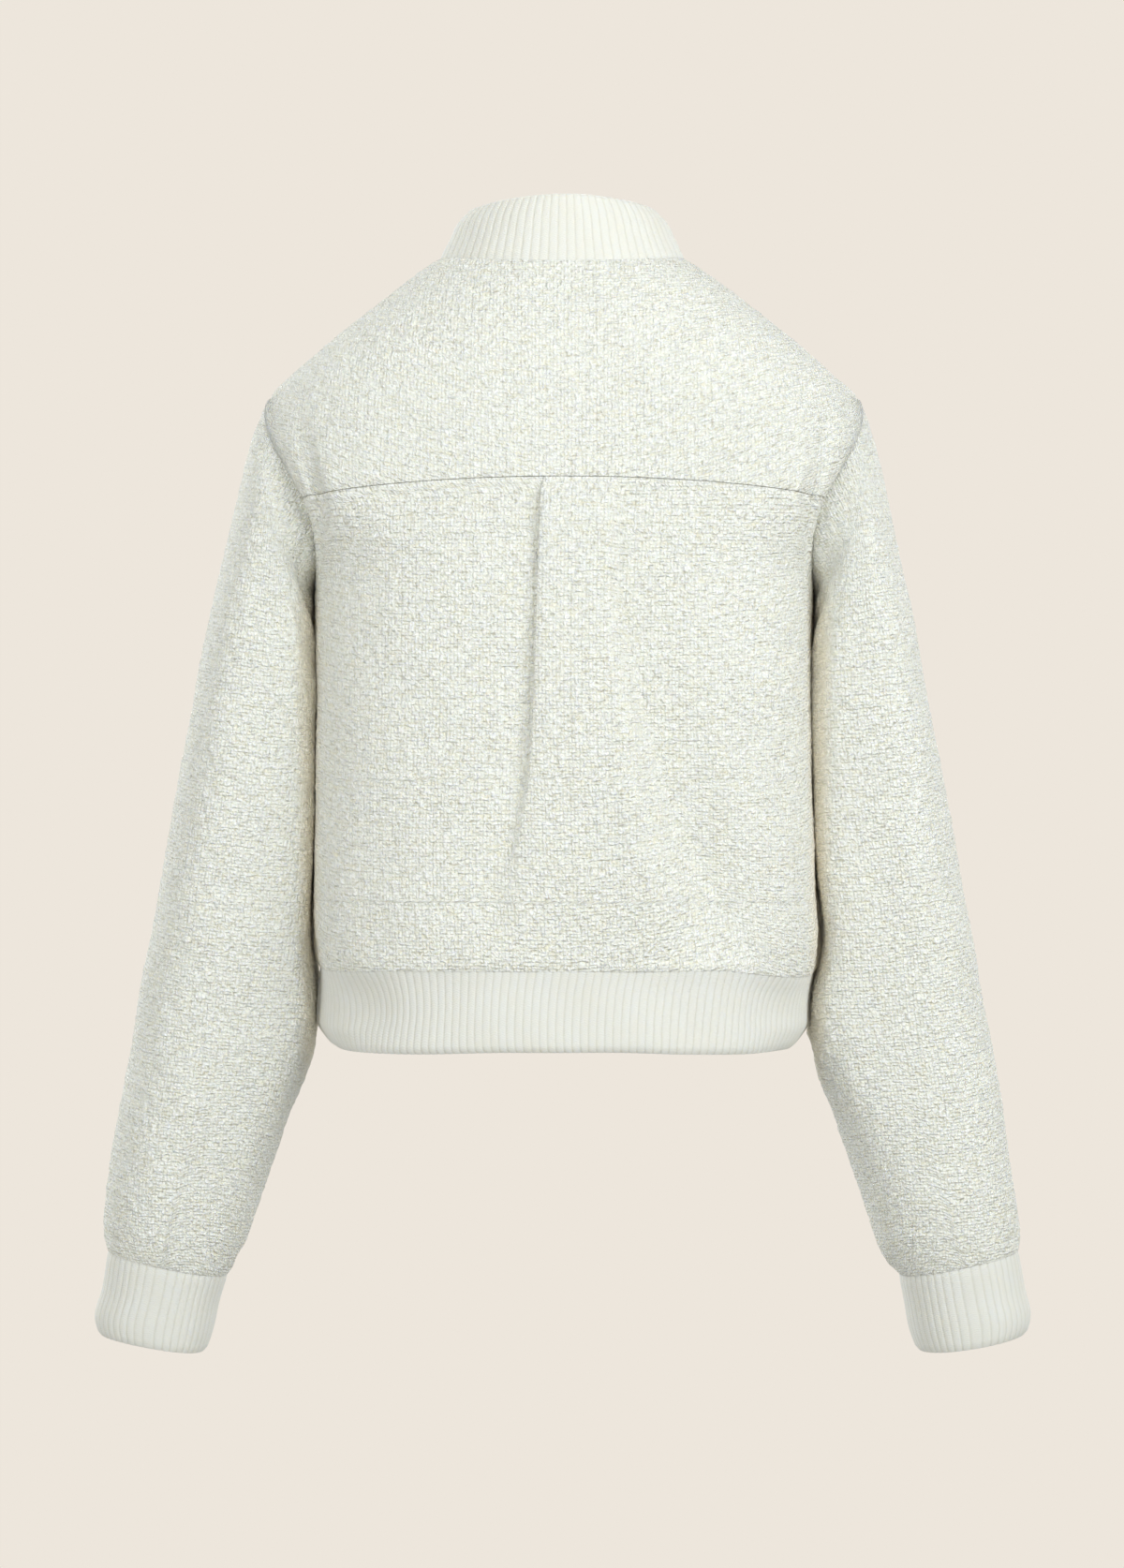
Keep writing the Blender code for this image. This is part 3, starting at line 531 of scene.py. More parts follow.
def creases(s, t, table, around=None):
    """Short creases: place across and down, half length, width, depth, and slant in degrees."""
    total = np.zeros_like(s)
    high, away, wide = CREASE_RIDGE
    for place_s, place_t, length, width, depth, slant in table:
        off = s - place_s
        if around is not None:
            off = (off + around / 2.0) % around - around / 2.0
        turn = math.radians(slant)
        along = off * math.cos(turn) + (t - place_t) * math.sin(turn)
        beside = (t - place_t) * math.cos(turn) - off * math.sin(turn)
        ridge = high * np.exp(-((beside + away * width) / (wide * width)) ** 2)
        total += depth * np.exp(-(along / length) ** 2) * (ridge - np.exp(-(beside / width) ** 2))
    return total


print("sizes of lumps in the yarn:", [size for size, _, _ in YARN_LUMPS], "mm")

# %% [markdown]
# ## A sheet from a net
# A grid is bent over the points of a net, and each corner of a face gets its true length across
# and down as UV. A tube is then sewn together along its first column. Solidify gives the sheet
# its thickness inwards. The rim of a sheet is kept sharp, because a smooth one would shade a
# false dark line along every seam.

# %% A sheet from a net
CLOTH = 2.2              # thickness of the tweed and of the doubled rib


def grid_over(net, uv):
    """A grid on the points of a net, with true lengths on its map."""
    rows, columns = net.shape[:2]
    bm = bmesh.new()
    bmesh.ops.create_grid(bm, x_segments=columns - 1, y_segments=rows - 1, size=1.0)
    for vert, place in zip(bm.verts, (net * MM).reshape(-1, 3)):
        vert.co = place
    layer = bm.loops.layers.uv.new("cloth")
    flat = np.stack((uv[0].ravel(), -uv[1].ravel()), axis=1) * MM
    for face in bm.faces:
        for loop in face.loops:
            loop[layer].uv = flat[loop.vert.index]
    return bm


def sheet_object(name, points, closed, wall, uv, finish):
    """A cloth piece on the points of its net, thickened inwards."""
    net = closed_up(points) if closed else points
    bm = grid_over(net, uv)
    if closed:
        bmesh.ops.remove_doubles(bm, verts=bm.verts, dist=1e-6)
    for edge in bm.edges:
        edge.smooth = not edge.is_boundary
    bm.normal_update()
    middle = Vector(net.reshape(-1, 3).mean(axis=0)) * MM
    if sum(face.normal.dot(face.calc_center_median() - middle) for face in bm.faces) < 0.0:
        bmesh.ops.reverse_faces(bm, faces=bm.faces)
    made = object_of(bm, name, finish)
    made.data.shade_smooth()
    thick = made.modifiers.new("thickness", "SOLIDIFY")
    thick.thickness = wall * MM
    thick.offset = -1.0
    thick.use_even_offset = False
    s, t = lengths(net)
    area = sum(face.area for face in made.data.polygons)
    print("%s: %.0f x %.0f mm, %.4f m2" % (name, s[:, -1].max(), t[-1].max(), area))
    return made


print("cloth is %.1f mm thick" % CLOTH)

# %% [markdown]
# ## A short way to write a material
# Node trees get long, so a small class adds one node at a time and links what it is given. A
# number or a colour is set, and another node's output is linked.

# %% Node helpers
class Weave:
    """A finish that is put together node by node."""

    def __init__(self, name, values):
        self.finish, self.shader = principled(name, values)
        self.tree = self.finish.node_tree

    def set_input(self, node, key, value):
        if isinstance(value, bpy.types.NodeSocket):
            self.tree.links.new(value, node.inputs[key])
        else:
            node.inputs[key].default_value = value

    def add(self, kind, inputs, output=0, **settings):
        node = self.tree.nodes.new("ShaderNode" + kind)
        for key, value in settings.items():
            setattr(node, key, value)
        for key, value in inputs.items():
            self.set_input(node, key, value)
        return node.outputs[output]

    def math(self, operation, first, second=0.0):
        return self.add("Math", {0: first, 1: second}, operation=operation)

    def axes(self, vector):
        """The three parts of a vector."""
        return self.add("SeparateXYZ", {"Vector": vector}).node.outputs

    def cloth(self):
        """The cloth's own map, in metres."""
        return self.add("UVMap", {}, uv_map="cloth")

    def object_place(self):
        return self.add("TexCoord", {}).node.outputs["Object"]

    def scaled(self, place, *size):
        """A place counted in steps of this size, so a pattern repeats once to each step."""
        scale = tuple(1.0 / step for step in size) + (1.0,) * (3 - len(size))
        return self.add("Mapping", {"Vector": place, "Scale": scale})

    def noise(self, place, detail=2.0, roughness=0.5, output=0):
        return self.add("TexNoise", {"Vector": place, "Scale": 1.0, "Detail": detail,
                                     "Roughness": roughness}, output)

    def ramp(self, value, low, high, start=0.0, end=1.0):
        return self.add("MapRange", {"Value": value, "From Min": low, "From Max": high,
                                     "To Min": start, "To Max": end})

    def blend(self, share, first, second):
        """A colour between two others."""
        return self.add("Mix", {"Factor": share, "A": first, "B": second}, output=2,
                        data_type="RGBA")

    def between(self, share, first, second):
        """A number between two others."""
        return self.add("Mix", {0: share, 2: first, 3: second})

    def bump(self, height, distance, strength=1.0):
        out = self.add("Bump", {"Height": height, "Distance": distance, "Strength": strength})
        self.set_input(self.shader, "Normal", out)

    def colour(self, value):
        self.set_input(self.shader, "Base Color", value)


def soft_wool(weight):
    """Light sinks a few millimetres into thick wool, and warms where it is deep."""
    return {"Subsurface Weight": weight, "Subsurface Radius": (1.0, 0.85, 0.6),
            "Subsurface Scale": 4.0 * MM}


print("light sinks into wool over", round(soft_wool(1.0)["Subsurface Scale"] / MM, 1), "mm")

# %% [markdown]
# ## Boucle tweed
# Boucle is woven from a looped, knotty yarn in two shades of off-white. Here the ground is a
# plain weave whose threads wander a little. Short floats lie over it, some across and some
# down, and are drawn as stretched Voronoi cells on the UV map. Pits open between them and small
# knots stand on top. One height is made of all these. It colours the yarn, with painted shade in
# the pits and a painted highlight on the knots, and drives the bump, so the two always agree.

# %% Ground weave
PITCH = 2.3 * MM         # from one thread to the next
WANDER = (5.0 * MM, 4.0 * MM)            # the threads wander over this width and height
WANDER_FAR = 2.6 * MM


def wandering(w, cloth):
    """The cloth's map, pushed about a little."""
    push = w.noise(w.scaled(cloth, *WANDER), output=1)
    drift = w.add("VectorMath", {0: push, 1: (0.5, 0.5, 0.5)}, operation="SUBTRACT")
    drift = w.add("VectorMath", {0: drift, "Scale": WANDER_FAR}, operation="SCALE")
    return w.add("VectorMath", {0: cloth, 1: drift}, operation="ADD")


def ground_weave(w, place):
    """A plain weave: round threads that take turns to lie on top."""
    across, down, _ = w.axes(w.scaled(place, PITCH / math.pi, PITCH / math.pi))
    warp = w.math("SINE", across)
    weft = w.math("SINE", down)
    over = w.math("GREATER_THAN", w.math("MULTIPLY", warp, weft), 0.0)
    warp_round = w.math("ABSOLUTE", warp)
    weft_round = w.math("ABSOLUTE", weft)
    warp_top = w.math("MULTIPLY", warp_round, w.ramp(weft_round, 0.0, 1.0, 0.5, 1.0))
    weft_top = w.math("MULTIPLY", weft_round, w.ramp(warp_round, 0.0, 1.0, 0.5, 1.0))
    return w.between(over, warp_top, weft_top)


print("threads to a centimetre: %.1f" % (0.01 / PITCH))

# %% Floats and height
FLOAT_LONG, FLOAT_WIDE = 5.0 * MM, 1.6 * MM
FLOAT_EDGE = (0.10, 0.55)        # a float is flat up to here and gone from there on
FLOAT_FEW = (0.45, 0.75)         # only floats with a high number stand out
WEAVE_SHARE, FLOAT_SHARE, FUZZ_SHARE = 0.7, 0.6, 0.5
FUZZ_SIZE = 1.1 * MM
SOFT_SHAPES = {
    # size across, size down, where the noise starts and ends, and what it adds to the height
    "pits": (3.2 * MM, 3.0 * MM, 0.43, 0.33, -0.45),
    "knots": (3.4 * MM, 2.8 * MM, 0.42, 0.68, 0.8),
}


def floats(w, place, wide, high, shift):
    """Threads that lie on top of the weave, and a number of its own for each thread."""
    spot = w.add("Mapping", {"Vector": place, "Scale": (1.0 / wide, 1.0 / high, 1.0),
                             "Location": (shift, shift * 1.7, 0.0)})
    cell = w.add("TexVoronoi", {"Vector": spot, "Scale": 1.0, "Randomness": 0.9}).node
    shape = w.ramp(cell.outputs["Distance"], *FLOAT_EDGE, 1.0, 0.0)
    pick = w.add("SeparateColor", {"Color": cell.outputs["Color"]})
    return w.math("MULTIPLY", shape, w.ramp(pick, *FLOAT_FEW)), pick


def yarn_height(w, cloth, place):
    """The height of the tweed, and the number of each float."""
    across_float, pick = floats(w, place, FLOAT_LONG, FLOAT_WIDE, 0.3)
    down_float, _ = floats(w, place, FLOAT_WIDE, FLOAT_LONG, 5.1)
    top = w.math("MAXIMUM", across_float, down_float)
    fuzz = w.noise(w.scaled(cloth, FUZZ_SIZE, FUZZ_SIZE), 3.0, 0.6)
    height = w.math("MULTIPLY", ground_weave(w, place), WEAVE_SHARE)
    for part, share in ((top, FLOAT_SHARE), (fuzz, FUZZ_SHARE)):
        height = w.math("ADD", height, w.math("MULTIPLY", part, share))
    for across, down, low, high, share in SOFT_SHAPES.values():
        spots = w.ramp(w.noise(w.scaled(place, across, down), 1.0), low, high)
        height = w.math("ADD", height, w.math("MULTIPLY", spots, share))
    return height, pick


print("soft shapes in the yarn:", sorted(SOFT_SHAPES))

# %% [markdown]
# The yarn is ivory with cream flecks. Its pits are darker, a painted shade in the hollows of the
# yarn, and its knots are paler, a painted highlight on the raised loops. Down each side, below the
# armpit, where the sleeves lie against the body, the wool is painted warmer. This is painted warm
# light that stands for light bounced about in the shaded gap between sleeve and body. That strip
# is placed by Object coordinates, which are the jacket's own metres.

# %% Boucle
IVORY = (0.89, 0.89, 0.80, 1.0)
CREAM = (0.875, 0.845, 0.69, 1.0)
# Painted shade: the pits of the yarn are darkened in colour where they sink.
PIT_PAINTED_SHADE = (0.712, 0.682, 0.552, 1.0)
# Painted highlight: the tops of the knots are paler in colour.
KNOT_PAINTED_HIGHLIGHT = (0.965, 0.96, 0.89, 1.0)
# Painted warm light: a warm tint down each side that stands for light bounced in the shaded gap
# between sleeve and body.
PAINTED_WARM_GAP = (0.97, 0.88, 0.70, 1.0)
PAINTED_WARM_GAP_SIDE = (0.157, 0.164, 0.168, 0.175)       # out from the middle: fades in, then out
PAINTED_WARM_GAP_LOW = (-0.20, -0.24)
PAINTED_WARM_GAP_MOST = 0.8
PATCH = (16.0 * MM, 6.0 * MM)            # flecks of cream come in patches of this size
PATCH_EDGE = (0.40, 0.62)
PIT_TOP, KNOT_FOOT, KNOT_TOP = 0.5, 0.85, 1.35       # heights at which the colours change
BOUCLE_RELIEF = 1.1 * MM


def painted_warm_gap(w):
    """How much of each place gets the painted warm light of the gap: a strip down each side, below
    the armpit.
    """
    across, _, up = w.axes(w.object_place())
    side = w.math("ABSOLUTE", across)
    inner, start, end, outer = PAINTED_WARM_GAP_SIDE
    strip = w.math("MULTIPLY", w.ramp(side, inner, start), w.ramp(side, outer, end))
    strip = w.math("MULTIPLY", strip, w.ramp(up, *PAINTED_WARM_GAP_LOW))
    return w.math("MULTIPLY", strip, PAINTED_WARM_GAP_MOST)


def boucle():
    w = Weave("boucle", {"Roughness": 0.92, "Sheen Weight": 0.2, "Sheen Roughness": 0.6,
                         "Specular IOR Level": 0.15, **soft_wool(0.25)})
    cloth = w.cloth()
    height, pick = yarn_height(w, cloth, wandering(w, cloth))
    patches = w.ramp(w.noise(w.scaled(cloth, *PATCH), 3.0), *PATCH_EDGE)
    flecks = w.math("MULTIPLY", w.ramp(pick, 0.3, 0.8, 0.25, 1.0), patches)
    yarn = w.blend(flecks, IVORY, CREAM)
    # Painted shade in the pits, by height.
    yarn = w.blend(w.ramp(height, 0.0, PIT_TOP), PIT_PAINTED_SHADE, yarn)
    # Painted highlight on the knots, by height.
    yarn = w.blend(w.ramp(height, KNOT_FOOT, KNOT_TOP), yarn, KNOT_PAINTED_HIGHLIGHT)
    # Painted warm light down the sides, in the shaded gap beside the sleeves.
    w.colour(w.blend(painted_warm_gap(w), yarn, PAINTED_WARM_GAP))
    w.bump(height, BOUCLE_RELIEF)
    return w.finish


boucle_cloth = boucle()
print("boucle nodes:", len(boucle_cloth.node_tree.nodes))

# %% [markdown]
# ## Rib knit
# The collar, hem and cuffs are a rib knit of smooth yarn: wales of knit stitches stand up as
# soft round ribs, and the purl wales between them sink into narrow grooves. The ribs are real
# relief in the mesh. The stitches are too small for that, so each is a small V in the bump.

# %% Rib knit
RIB_PITCH = 5.2
STITCH = 1.5 * MM
STITCH_SLANT = 1.6
STITCH_RELIEF = 0.28 * MM
KNIT_PATCH = (14.0 * MM, 30.0 * MM)      # whiter and warmer knit, in patches of this size
# Painted shade in the grooves between the ribs, on top of their real relief.
GROOVE_SHADE_EDGE = (0.33, 0.49)       # the groove's colour comes in this far off a rib's middle
RIB_WHITE = (0.732, 0.732, 0.685, 1.0)
RIB_WARM = (0.727, 0.717, 0.652, 1.0)
# Painted shade: the colour of the grooves.
GROOVE_PAINTED_SHADE = (0.672, 0.662, 0.59, 1.0)


def rib_knit():
    w = Weave("rib_knit", {"Roughness": 0.85, "Sheen Weight": 0.15,
                           "Specular IOR Level": 0.2, **soft_wool(0.3)})
    cloth = w.cloth()
    across, down, _ = w.axes(cloth)
    wale = w.math("FRACT", w.math("DIVIDE", across, RIB_PITCH * MM))
    off_middle = w.math("ABSOLUTE", w.math("SUBTRACT", wale, 0.5))
    slant = w.math("MULTIPLY", off_middle, STITCH_SLANT)
    course = w.math("FRACT", w.math("ADD", w.math("DIVIDE", down, STITCH), slant))
    stitch = w.math("ABSOLUTE", w.math("SUBTRACT", course, 0.5))
    fuzz = w.noise(w.scaled(cloth, 0.9 * MM, 1.2 * MM), 3.0, 0.6)
    height = w.math("SUBTRACT", w.math("MULTIPLY", fuzz, 0.9), stitch)
    patches = w.noise(w.scaled(cloth, *KNIT_PATCH))
    yarn = w.blend(w.ramp(patches, 0.35, 0.7), RIB_WHITE, RIB_WARM)
    # The grooves get a painted shade in colour.
    w.colour(w.blend(w.ramp(off_middle, *GROOVE_SHADE_EDGE), yarn, GROOVE_PAINTED_SHADE))
    w.bump(height, STITCH_RELIEF, 0.7)
    return w.finish


knit = rib_knit()
print("rib knit nodes:", len(knit.node_tree.nodes))

# %% [markdown]
# ## Back yoke and back panel
# The yoke covers the shoulders down to an arched seam. The panel hangs from that seam to the
# knitted hem, and has one box pleat that stands out of the back. The pleat is crisp where the
# seam holds it and opens into soft slopes below. Each table gives the course of a form from its
# top row down, because cloth changes slowly along a fold and quickly across it.

# %% Pleat, valley and troughs
PLEAT_COLUMNS = ("z", "left", "right", "height", "left_soft", "right_soft")
PLEAT = (
    (-150.0, 11.3, -30.0, 0.0, 2.0, 6.0),
    (-164.0, 11.5, -27.0, 4.0, 2.0, 9.5),
    (-206.0, 13.0, -26.0, 5.0, 2.0, 11.0),
    (-260.0, 14.6, -27.5, 6.0, 3.0, 14.0),
    (-300.0, 16.0, -31.0, 6.6, 4.0, 18.0),
    (-345.0, 19.5, -42.0, 6.4, 7.0, 24.0),
    (-384.0, 24.0, -56.0, 5.0, 13.0, 28.0),
    (-426.0, 28.0, -70.0, 2.6, 21.0, 34.0),
    (-450.0, 30.0, -78.0, 0.7, 25.0, 40.0),
    (-466.0, 30.0, -80.0, 0.0, 25.0, 44.0),
)
VALLEY_COLUMNS = ("z", "place", "depth", "left", "right", "sharpness")
VALLEY = (
    # beside the right foot of the pleat: a sharp crease above, a soft trough below
    (-150.0, -36.0, -2.0, 3.0, 20.0, 1.0),
    (-164.0, -36.6, -4.5, 4.0, 26.0, 1.0),
    (-206.0, -37.0, -6.5, 5.0, 32.0, 1.0),
    (-262.0, -44.0, -7.5, 8.0, 34.0, 1.2),
    (-300.0, -53.0, -8.5, 11.0, 34.0, 1.3),
    (-332.0, -64.0, -10.0, 14.0, 33.0, 1.4),
    (-374.0, -75.0, -12.0, 17.0, 34.0, 1.6),
    (-399.0, -83.0, -13.0, 18.0, 37.0, 1.8),
    (-426.0, -89.0, -12.0, 20.0, 40.0, 1.9),
    (-450.0, -93.0, -6.0, 24.0, 40.0, 2.0),
    (-466.0, -95.0, 0.0, 26.0, 40.0, 2.0),
)
TROUGH_COLUMNS = ("z", "across", "depth", "width")
TROUGH = (
    (-108.0, 0.86, 0.0, 0.055),
    (-122.0, 0.87, 2.5, 0.055),
    (-137.0, 0.89, 5.0, 0.05),
    (-150.0, 0.905, 7.5, 0.05),
    (-168.0, 0.935, 8.0, 0.045),
    (-185.0, 0.962, 6.0, 0.045),
    (-206.0, 0.975, 0.0, 0.04),
)
print("the pleat stands out %.1f mm at most" % max(row[3] for row in PLEAT))

# %% [markdown]
# The troughs run down beside the armholes and cross the yoke seam, so they belong to the form
# of both pieces. The pleat is lifted out of the panel, and its left edge leans over its own
# foot, so that a true shadow falls under it. The valley beside its right foot is a crease at
# the top and a wide hollow below.

# %% Forms of the back
PLEAT_LEAN = 3.2         # how far the left edge leans over its foot, where it is high and crisp
PLEAT_HIGH, PLEAT_CRISP = 4.0, 4.0
PLEAT_EDGE = 7.0         # the strip along that edge which leans
PLEAT_OPENS = (-300.0, 90.0)     # from here down, the right slope turns from round to soft


def back_points(across, z):
    """Points of the back with its two troughs."""
    points = body_points(BACK, across, z)
    centre, depth, width = (read(TROUGH, TROUGH_COLUMNS, name, z)
                            for name in TROUGH_COLUMNS[1:])
    points[..., 1] -= depth * smooth(1.0 - np.abs(np.abs(across) - centre) / width)
    return points


def pleat(name, z):
    return read(PLEAT, PLEAT_COLUMNS, name, z)


def fold_pleat(points):
    """Lift the pleat out of the back, and lean its left edge over its foot."""
    x, y, z = (points[..., k] for k in range(3))
    left, left_soft, right_soft = (pleat(name, z) for name in ("left", "left_soft", "right_soft"))
    from_left = smooth((left + left_soft - x) / left_soft)
    up = np.clip((x - pleat("right", z) + right_soft) / right_soft, 0.0, 1.0)
    opening = smooth((PLEAT_OPENS[0] - z) / PLEAT_OPENS[1])
    from_right = mix(up * (2.0 - up), smooth(up), opening)
    height = pleat("height", z)
    crisp = np.clip((PLEAT_CRISP + 2.0) / (left_soft + 2.0), 0.0, 1.0)
    lean = PLEAT_LEAN * np.clip(height / PLEAT_HIGH, 0.0, 1.0) * crisp
    inner = np.clip((left - x) / PLEAT_EDGE, 0.0, 1.0)
    reach = from_left * (1.0 - smooth(inner)) * lean
    return np.stack((x + reach, y + height * from_left * from_right, z), axis=-1)


def valley(x, z):
    place, depth, left, right, sharpness = (read(VALLEY, VALLEY_COLUMNS, name, z)
                                            for name in VALLEY_COLUMNS[1:])
    off = x - place
    return depth * np.exp(-(np.abs(off) / np.where(off > 0.0, left, right)) ** sharpness)


print("valley: %.1f mm deep at the waist" % valley(-75.0, -374.0))

# %% [markdown]
# A row of the back starts and ends on an armhole or a side seam, and rises to the arch of the
# yoke seam in between. Rows of the panel have extra columns on the slopes of the pleat, where
# the cloth turns most.

# %% Rows of the back
YOKE_ARCH = 11.0
YOKE_NOTCH = 5           # the yoke seam meets the armhole at this step
YOKE_FLAT = -412.0       # the arch dies out at this height
NECK_DIP_BACK = 8.0
HEM_SEAM = -466.0


def back_net(edge_z, lift, keys_of, counts):
    """Rows of the back. Between its key places each row is divided into equal steps."""
    rows = []
    for z_edge, up in zip(edge_z, lift):
        def row(across, z_edge=z_edge, up=up):
            return back_points(across, z_edge + up * (1.0 - across ** 2))
        keys = keys_of(z_edge, up)
        parts = [even_steps(row, a, b, n + 1)[:-1] for a, b, n in zip(keys, keys[1:], counts)]
        rows.append(row(np.concatenate(parts + [[keys[-1]]])))
    return np.array(rows)


def yoke_keys(z_edge, lift):
    return -1.0, 0.0, 1.0


def pleat_keys(z_edge, lift):
    """Shares of the width at which the pleat's slopes start and end."""
    z = z_edge + lift
    width = float(body_points(BACK, 1.0, z)[0])
    folds = (pleat("right", z) - pleat("right_soft", z), pleat("right", z), pleat("left", z),
             pleat("left", z) + pleat("left_soft", z))
    return [-1.0] + [float(fold) / width for fold in folds] + [1.0]


print("slopes of the pleat:", np.round(pleat_keys(-206.0, 0.0), 3))

# %% Back sheets
BACK_FOLDS = (
    # height, place across, depth (negative sinks), width to the left and to the right
    ((-170, 14, 0.0, 9, 2), (-230, 17, -1.6, 14, 2), (-330, 22, -2.6, 20, 6),
     (-400, 34, -2.2, 28, 14), (-455, 44, 0.0, 30, 18)),
    ((-330, 112, 0.0, 22, 26), (-400, 118, -1.2, 20, 26), (-440, 120, -1.6, 18, 24),
     (-460, 120, 0.0, 18, 24)),
    ((-260, -34, 0.0, 10, 10), (-340, -40, 1.4, 14, 10), (-430, -66, 2.2, 16, 14),
     (-458, -72, 0.0, 16, 14)),
    ((-330, -128, 0.0, 20, 20), (-400, -134, 2.4, 20, 16), (-440, -136, 2.4, 20, 16),
     (-462, -136, 0.0, 20, 16)),
    ((-240, -128, 0.0, 12, 12), (-300, -132, -0.8, 13, 12), (-370, -138, -0.6, 14, 12),
     (-430, -140, 0.0, 14, 12)),
)


def middle_start(net):
    """Distance to each row's first column from the middle of the body, along the cloth."""
    middle = np.abs(net[..., 0]).argmin(axis=1)
    s, _ = lengths(net)
    return -s[np.arange(len(net)), middle]


def back_sheet(name, net, plain, seed, dip):
    """One piece of the back, with its seams, folds and lumps, raised from its plain form."""
    s, t = lengths(net, middle_start(net), -net[0, :, 2])
    normals = outward(plain, np.array((0.0, 0.0, -300.0)))
    own_s, own_t = lengths(net)
    relief = yarn_lumps(s, t, seed)
    relief += hanging_folds(net[..., 0], net[..., 2], BACK_FOLDS) + dip
    side = armhole_roll(net[..., 2])
    relief = seamed(relief, ((own_t, SEAM_CRISP), (own_t[-1] - own_t, SEAM_CRISP),
                             (own_s, side), (own_s[:, -1:] - own_s, side)))
    points = net + normals * relief[..., None]
    return sheet_object(name, points, False, CLOTH, (s, t), boucle_cloth)


print("hanging folds of the back:", len(BACK_FOLDS))

# %% [markdown]
# The yoke's rows start on the shoulder seams and bend from the neckline's dip to the arch. The
# panel's first row is the same arch, a hair lower, so that the seam shows as a fine line.

# %% Back yoke
YOKE_GAP = 0.45          # what shows between the yoke and the panel at their seam
yoke_low = float(armhole_z(YOKE_NOTCH))
shoulder = np.linspace(0.0, ARMHOLE_TOP[1], 60)[:-1]
yoke_edges = np.concatenate((shoulder, armhole_z(np.linspace(0, YOKE_NOTCH, 50))))
yoke_lifts = mix(-NECK_DIP_BACK, YOKE_ARCH, smooth(yoke_edges / yoke_low))
yoke_net = back_net(yoke_edges, yoke_lifts, yoke_keys, (120, 120))
yoke_net = eased(even_rows(yoke_net, 92))
yoke_net[-1, :, 2] += YOKE_GAP / 2.0
back_yoke = back_sheet("back_yoke_cloth", yoke_net, yoke_net, 3.0, 0.0)

# %% Back panel
below = np.linspace(ARMHOLE_BOTTOM[1], HEM_SEAM, 170)
panel_edges = np.concatenate((armhole_z(np.linspace(YOKE_NOTCH, ARMHOLE_STEPS, 50))[:-1], below))
panel_lifts = YOKE_ARCH * (1.0 - smooth((panel_edges - yoke_low) / (YOKE_FLAT - yoke_low)))
panel_plain = back_net(panel_edges, panel_lifts, pleat_keys, (92, 12, 30, 10, 92))
panel_plain = eased(even_rows(panel_plain, 186))
panel_plain[0, :, 2] -= YOKE_GAP / 2.0
panel_net = fold_pleat(panel_plain)
panel_dip = valley(panel_net[..., 0], panel_net[..., 2])
back_panel = back_sheet("back_panel_cloth", panel_net, panel_plain, 5.0, panel_dip)

# %% [markdown]
# ## Fronts
# Each front runs from the shoulder seam round the neckline and down to the knitted hem. It is
# plain: its inner edge is folded under beside the zip, and its outer edge is sewn to the sleeve
# and to the back. Its rows start on the shoulder line and turn until they are level.

# %% Rows of a front
NECK_DROP_FRONT = 76.0
NECK_ROUND = 1.4
NECK_STEPS = 4
FRONT_EDGE = 5.0


def front_neck(step):
    """The neckline from the shoulder to the centre front, as a share of the width and a height."""
    turn = np.pi / 2.0 * np.asarray(step, float) / NECK_STEPS
    x = mix(FRONT_EDGE, float(body("left", 0.0)), np.cos(turn))
    z = -NECK_DROP_FRONT * np.sin(turn) ** NECK_ROUND
    return x / body("left", z), z


def front_row(side, step):
    """A row of a front as a path: 0 is its inner end and 1 its outer end."""
    below = max(step - ARMHOLE_STEPS, 0.0)
    if step <= NECK_STEPS:
        inner_share, inner_z = front_neck(step)
    else:
        fall = min(step - NECK_STEPS, ARMHOLE_STEPS - NECK_STEPS) / (ARMHOLE_STEPS - NECK_STEPS)
        inner_z = mix(-NECK_DROP_FRONT, ARMHOLE_BOTTOM[1], fall) - below
        inner_share = FRONT_EDGE / body("left", inner_z)
    outer_z = float(armhole_z(min(step, ARMHOLE_STEPS))) - below

    def path(spread):
        share = 1.0 - (1.0 - inner_share) * (1.0 - spread)
        return body_points(FRONT, side * share, mix(inner_z, outer_z, spread))
    return path


def front_net(side, columns, rows):
    """Steps 0 to 9 turn round the armhole, and each further step is a millimetre down."""
    depth = ARMHOLE_BOTTOM[1] - HEM_SEAM
    steps = np.concatenate((NECK_STEPS * np.linspace(0.0, 1.0, 60) ** 2,
                            np.linspace(NECK_STEPS, ARMHOLE_STEPS, 60)[1:],
                            ARMHOLE_STEPS + np.linspace(0.0, depth, 140)[1:]))
    paths = [front_row(side, step) for step in steps]
    net = [path(even_steps(path, 0.0, 1.0, columns)) for path in paths]
    return even_rows(np.array(net), rows)


print("lowest point of the neckline: %.0f mm" % front_neck(NECK_STEPS)[1])

# %% Fronts
FRONT_FOLDS = (
    ((-230, 70, 0.0, 18, 14), (-300, 78, -1.6, 18, 14), (-380, 92, -2.6, 20, 16),
     (-440, 104, -1.8, 20, 18), (-460, 108, 0.0, 20, 18)),
    ((-150, 128, 0.0, 12, 10), (-190, 126, -1.8, 12, 10), (-240, 130, -1.2, 14, 12),
     (-290, 134, 0.0, 14, 12)),
    ((-300, 36, 0.0, 14, 14), (-370, 40, 1.2, 16, 14), (-430, 46, 1.6, 16, 16),
     (-460, 48, 0.0, 16, 16)),
)
FRONT_CREASES = (
    # place across, place down, half length, width, depth, slant
    (118.0, 212.0, 30.0, 7.0, 1.4, -28.0),
    (96.0, 236.0, 24.0, 8.0, 0.9, -22.0),
    (60.0, 428.0, 26.0, 7.0, 0.8, 16.0),
    (128.0, 440.0, 22.0, 7.0, 1.1, -12.0),
)
FRONT_UNLIKE = 0.12      # the folds of one front lie further out than those of the other


